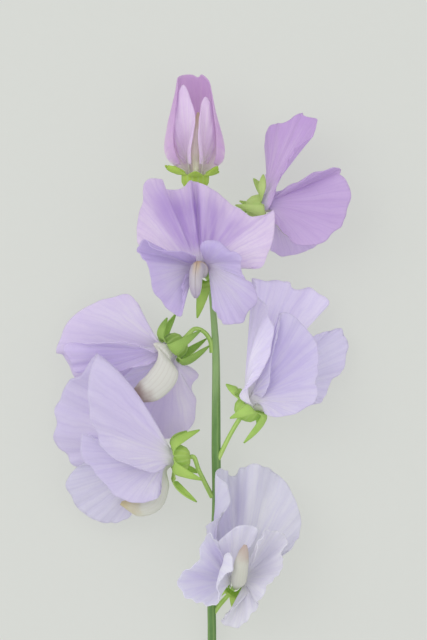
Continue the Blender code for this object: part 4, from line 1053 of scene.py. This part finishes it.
def sepal_rows(edge, root, outward, tip, forward):
    """Rows of points from a stretch of the cup's rim to a sepal's tip, hollow along the middle."""
    reach = np.linalg.norm(tip - root)
    near = root + (forward * SEPAL_FORWARD + outward * SEPAL_OUTWARD) * reach
    far = near + (tip - near) * SEPAL_PULL
    width = edge[-1] - edge[0]
    turn = np.linspace(-0.5, 0.5, len(edge))[:, None]
    rows = []
    for t in np.linspace(0, 1, SEPAL_ROWS + 1)[1:]:
        middle = bezier(root, near, far, tip, t)
        along = unit(middle - bezier(root, near, far, tip, t - LITTLE_STEP))
        facing = np.cross((0, 0, 1), along)
        facing = facing * np.sign(facing @ width) * np.linalg.norm(width)
        turned = width + (facing - width) * SEPAL_TWIST * t
        flat = unit(turned - along * (turned @ along))
        share = np.interp(t, *zip(*SEPAL_SHAPE)) * np.linalg.norm(width)
        hollow = np.cross(flat, along)
        hollow = hollow * np.sign(hollow @ outward) * (0.25 - turn**2) * share * SEPAL_HOLLOW
        straight = middle + flat * turn * share + hollow
        fade = min(1, t / RIM_FADE)
        rows.append(straight * fade + (edge + (middle - root)) * (1 - fade))
    return rows


# %% The cup
CUP_DEPTH = 6.5
CUP_HEIGHT = 5.6
CUP_PROFILE = ((0.0, 0.42), (0.16, 0.74), (0.5, 0.97), (1.0, 1.0))
CUP_RINGS = (0, 0.06, 0.16, 0.3, 0.5, 0.75, 1.0)
CUP_FLUTE = 0.03
CUP_SHARE = 0.4
SEPALS = 5
SEPAL_ANGLE = 360 / SEPALS
SEPAL_AT = (-36, 36, -108, 108, 180)
PER_SEPAL = 8


def calyx_rows(blossom, per_sepal):
    """The cup's rings of points, then each sepal's rows, with the part of the rim it starts from."""
    throat, mouth, forward, up, side = axes(blossom)
    base = mouth - forward * CUP_DEPTH
    whole = SEPALS * per_sepal
    around = np.radians(np.linspace(-SEPAL_ANGLE, 360 - SEPAL_ANGLE, whole, endpoint=False))[:, None]
    spokes = up * np.cos(around) + side * np.sin(around)
    flute = 1 + CUP_FLUTE * np.cos(SEPALS * (around - math.pi / SEPALS))
    widths = np.interp(CUP_RINGS, *zip(*CUP_PROFILE))
    cup = [base + forward * CUP_HEIGHT * high + spokes * flute * blossom["cup"] * wide
           for high, wide in zip(CUP_RINGS, widths)]
    sepals = []
    for middle, tip in zip(SEPAL_AT, blossom["sepals"]):
        first = int((middle + SEPAL_ANGLE / 2) / SEPAL_ANGLE * per_sepal) % whole
        picks = [(first + k) % whole for k in range(per_sepal + 1)]
        edge = cup[-1][picks]
        root = edge[per_sepal // 2]
        outward = spokes[picks[per_sepal // 2]]
        sepals.append((picks, sepal_rows(edge, root, outward, np.array(tip, float) + throat, forward)))
    return cup, sepals


# %% Cup and sepals as one piece
def calyx_piece(name, blossom, finish):
    """The cup's rings and all five sepals as one sheet with thickness."""
    cup, sepals = calyx_rows(blossom, PER_SEPAL)
    around = len(cup[0])
    points = [point for ring in cup for point in ring]
    marks = [(j / around, CUP_SHARE * i / (len(cup) - 1)) for i in range(len(cup)) for j in range(around)]
    faces = grid_faces(len(cup), around, closed=True)
    for picks, rows in sepals:
        before = [(len(cup) - 1) * around + k for k in picks]
        for i, row in enumerate(rows):
            after = list(range(len(points), len(points) + len(row)))
            points += list(row)
            out = CUP_SHARE + (1 - CUP_SHARE) * (i + 1) / len(rows)
            marks += [(j / (len(row) - 1), out) for j in range(len(row))]
            faces += [(before[k], before[k + 1], after[k + 1], after[k]) for k in range(len(row) - 1)]
            before = after
    return thin_solid(name, np.array(points), faces, marks, SEPAL_THICK, finish)


# %% [markdown]
# ### Green tissue
#
# Sepals, stalks and stem are all green, striped lengthwise by their vessels and cloudy where the tissue is
# thicker. Each could have a material of its own, but they differ only in their tones, the number of stripes
# and how much light comes through, so one function makes them all.

# %% Striped green tissue
STRIPES = dict(scale=120, wander=0.5, thin=3, share=0.55)
GREEN_CLOUD = dict(scale=140, edge=(0.3, 0.7), share=0.7)
TIP_ZONE, TIP_SHARE = (0.75, 1.0), 0.5
GREEN_CELLS = 2800
GREEN_RELIEF = dict(strength=0.35, depth=0.00015)


def green_finish(name, tones, stripes, tip=TIP_ZONE, glow=None, clear=0):
    """Green tissue in light, dark, stripe and tip tones, striped lengthwise and rough with fine cells."""
    made = start_finish(name)
    light, dark, stripe, end = [tint(*tone) for tone in tones]
    around, outward, place = blade_place()
    wander = grain(place, STRIPES["scale"]) * STRIPES["wander"]
    ribs = (around * stripes + wander).wave() ** STRIPES["thin"]
    cloud = grain(place, GREEN_CLOUD["scale"], 3).between(*GREEN_CLOUD["edge"])
    cells = grain(place, GREEN_CELLS)
    tone = blend(cloud * GREEN_CLOUD["share"], light, dark)
    tone = blend(ribs * STRIPES["share"], tone, stripe)
    tone = blend(outward.between(*tip) * TIP_SHARE, tone, end)
    skin = Wire.node("BsdfPrincipled", {}, {
        "Base Color": tone, "Roughness": 0.42 + cells * 0.2,
        "Normal": relief(ribs * 0.6 + cells * 0.4, **GREEN_RELIEF), "Specular IOR Level": 0.4,
        # Painted glow: green tissue gives off light in its own colour, to lift its shade.
        "Emission Color": tone, "Emission Strength": PAINTED_GLOW,
    })
    return finished(made, lit_through(skin, clear, glow) if clear else skin)


# %% The calyces
SEPAL_STRIPES, STRIPE_TONE = 15, (206, 228, 150)
SEPAL_GLOW, SEPAL_CLEAR = tint(190, 228, 100), 0.35
SEPAL_TONES = {
    "bud": ((206, 230, 104), (178, 208, 80)), "top_front": ((188, 216, 112), (158, 192, 86)),
    "top_right": ((208, 222, 152), (184, 204, 122)), "upper_left": ((166, 196, 102), (128, 162, 78)),
    "lower_left": ((194, 220, 116), (158, 192, 88)), "middle_right": ((198, 226, 126), (164, 200, 96)),
    "bottom": ((200, 226, 112), (166, 200, 86)),
}
for name, blossom in BLOSSOMS.items():
    light_tone, dark_tone = SEPAL_TONES[name]
    sepal_green = green_finish(f"{name}_sepal_tissue", (light_tone, dark_tone, STRIPE_TONE, dark_tone),
                               SEPAL_STRIPES, glow=SEPAL_GLOW, clear=SEPAL_CLEAR)
    settle(calyx_piece(f"{name}_calyx_cup", blossom, sepal_green), f"{name}_calyx")
print("calyces made:", len(BLOSSOMS))

# %% [markdown]
# ## Stem and stalks
#
# The stem is round with shallow ribs, darker than the stalks, and each stalk leaves it in a low curve and
# swells a little into its calyx. Tubes that start inside the stem need no joint to be cut: they grow out of
# it. A curve with a bevel would give tubes too, but not the stem's shallow ribs.

# %% The stem
STEM_LINE = ((-0.5, -48, 0), (-0.4, -20, 0), (-0.4, 3, 0), (-0.4, 18, 0), (1.2, 47, 0), (1.1, 68, 0),
             (1.1, 86, 0), (1.0, 104, 0), (0, 119, 0), (-0.9, 128, 0), (-2, 138, 0), (-3, 148, 0))
STEM_RADII = (1.55, 1.55, 1.55, 1.5, 1.6, 1.65, 1.55, 1.35, 1.1, 1.0, 0.95, 0.85)
STEM_TONES = ((100, 138, 74), (74, 112, 56), (136, 166, 98), (168, 196, 136))
STEM_STRIPES = 5
PALER_FROM = (0.63, 0.74)
stem_green = green_finish("stem_tissue", STEM_TONES, STEM_STRIPES, tip=PALER_FROM)
stem = rod("stem_and_stalks", tube(STEM_LINE, STEM_RADII, around=30, along=220, ribbed=0.035), stem_green)

# %% The stalks
STALK_TONES = ((170, 200, 104), (140, 178, 84), (186, 212, 130), (150, 186, 90))
STALK_STRIPES = 4
STALK_RADII = (0.95, 0.85, 0.8, 0.8)
STALK_END_RADII = (0.85, 0.8)
STALK_MEETS, STALK_ENTERS = 1.6, 0.8


def stalk_line(blossom):
    """From inside the stem to inside the calyx cup."""
    _, mouth, forward, _, _ = axes(blossom)
    meets = mouth - forward * (CUP_DEPTH + STALK_MEETS)
    return [*blossom["pedicel"], meets, mouth - forward * (CUP_DEPTH - STALK_ENTERS)]


stalk_green = green_finish("stalk_tissue", STALK_TONES, STALK_STRIPES)
for name, blossom in BLOSSOMS.items():
    line = stalk_line(blossom)
    radii = [*STALK_RADII[:len(blossom["pedicel"])], *STALK_END_RADII]
    stalk = rod(f"stalk_{name}", tube(line, radii, around=16, along=60), stalk_green)
    bpy.context.scene.collection.objects.link(stalk)
    stalk.parent = stem
settle(stem, "stem")
print("stem length in millimetres:", round(STEM_LINE[-1][1] - STEM_LINE[0][1]))

# %% [markdown]
# ## Floor, light and camera
#
# The cut stem lies on a pale floor and the camera looks down on it. The floor is a card that is also lit a
# little from below, as on a light table: that keeps the shadows faint and lets the thin petals glow. Studio
# light for flowers comes from big soft boxes: one high on the left for shape, one opposite to open the shade.

# %% A plain pale floor
FLOOR_SHADE = 0.28
FLOOR_GLOW = 0.73
CARD, CARD_FIBRE = tint(214, 216, 211), tint(204, 206, 201)
FIBRE_SCALE, FIBRE_SHARE = 300, 0.12
CARD_RELIEF = dict(strength=0.08, depth=0.0003)
FLOOR_HALF = 1.6
FLOOR_DROP = 0.0003


def floor_finish():
    """Pale card with a faint fibre, lit a little from below."""
    made = start_finish("floor_card")
    fibre = grain(Wire.node("TexCoord", out=3), FIBRE_SCALE, 4)
    tone = blend(fibre * FIBRE_SHARE, CARD, CARD_FIBRE)
    skin = Wire.node("BsdfPrincipled", {}, {
        "Base Color": blend(FLOOR_SHADE, tint(0, 0, 0), tone), "Roughness": 0.85 + fibre * 0.1,
        "Normal": relief(fibre, **CARD_RELIEF), "Specular IOR Level": 0.1,
        "Emission Color": tone, "Emission Strength": FLOOR_GLOW,
    })
    return finished(made, skin)


mesh = bpy.data.meshes.new("floor")
corners = ((-1, -1), (1, -1), (1, 1), (-1, 1))
mesh.from_pydata([(x * FLOOR_HALF, y * FLOOR_HALF, -FLOOR_DROP) for x, y in corners], [], [(0, 1, 2, 3)])
mesh.materials.append(floor_finish())
floor = bpy.data.objects.new("floor", mesh)
bpy.context.scene.collection.objects.link(floor)
print("the floor is a card of", 2 * FLOOR_HALF, "metres")

# %% Soft light
SKY_TONE, SKY_STRENGTH = (0.97, 0.98, 0.985, 1), 0.86
SOFT_BOXES = dict(
    key_box=dict(place=(-0.8, 0.5, 1.1), size=1.2, power=5.0),
    fill_box=dict(place=(0.9, -0.3, 1.2), size=1.0, power=1.5))
world = bpy.data.worlds.new("surround")
world.use_nodes = True
sky = world.node_tree.nodes["Background"].inputs
sky["Color"].default_value = SKY_TONE
sky["Strength"].default_value = SKY_STRENGTH
bpy.context.scene.world = world
bpy.context.scene.view_settings.view_transform = "Standard"


def soft_box(name, place, size, power):
    """A square lamp at a place, turned toward the flower."""
    lamp = bpy.data.lights.new(name, "AREA")
    lamp.size = size
    lamp.energy = power
    holder = bpy.data.objects.new(name, lamp)
    holder.location = place
    holder.rotation_euler = (-Vector(place)).to_track_quat("-Z", "Y").to_euler()
    bpy.context.scene.collection.objects.link(holder)


for name, box in SOFT_BOXES.items():
    soft_box(name, **box)
print("soft boxes:", ", ".join(SOFT_BOXES))

# %% [markdown]
# ### The camera
#
# Seen from far off through a long lens, near and far blossoms keep the same scale. A camera without
# perspective would do that too, but a real lens keeps a little of the depth. It looks straight at the drawing
# board, which leans with the stem.

# %% The camera
LENS, FILM = 200.0, 36.0
CLIP_NEAR, CLIP_FAR = 0.01, 20
VIEW_HEIGHT = 230.4
VIEW_MIDDLE = (0.2, 115.2, 0.0)
distance = VIEW_HEIGHT * LENS / FILM
lens = bpy.data.cameras.new("camera")
lens.lens = LENS
lens.sensor_width = FILM
lens.clip_start, lens.clip_end = CLIP_NEAR, CLIP_FAR
camera = bpy.data.objects.new("camera", lens)
camera.rotation_mode = "QUATERNION"
camera.rotation_quaternion = TURN.to_quaternion()
camera.location = laid(np.array(VIEW_MIDDLE) + (0, 0, distance))
bpy.context.scene.collection.objects.link(camera)
bpy.context.scene.camera = camera
print("the camera looks down from", round(distance), "millimetres")
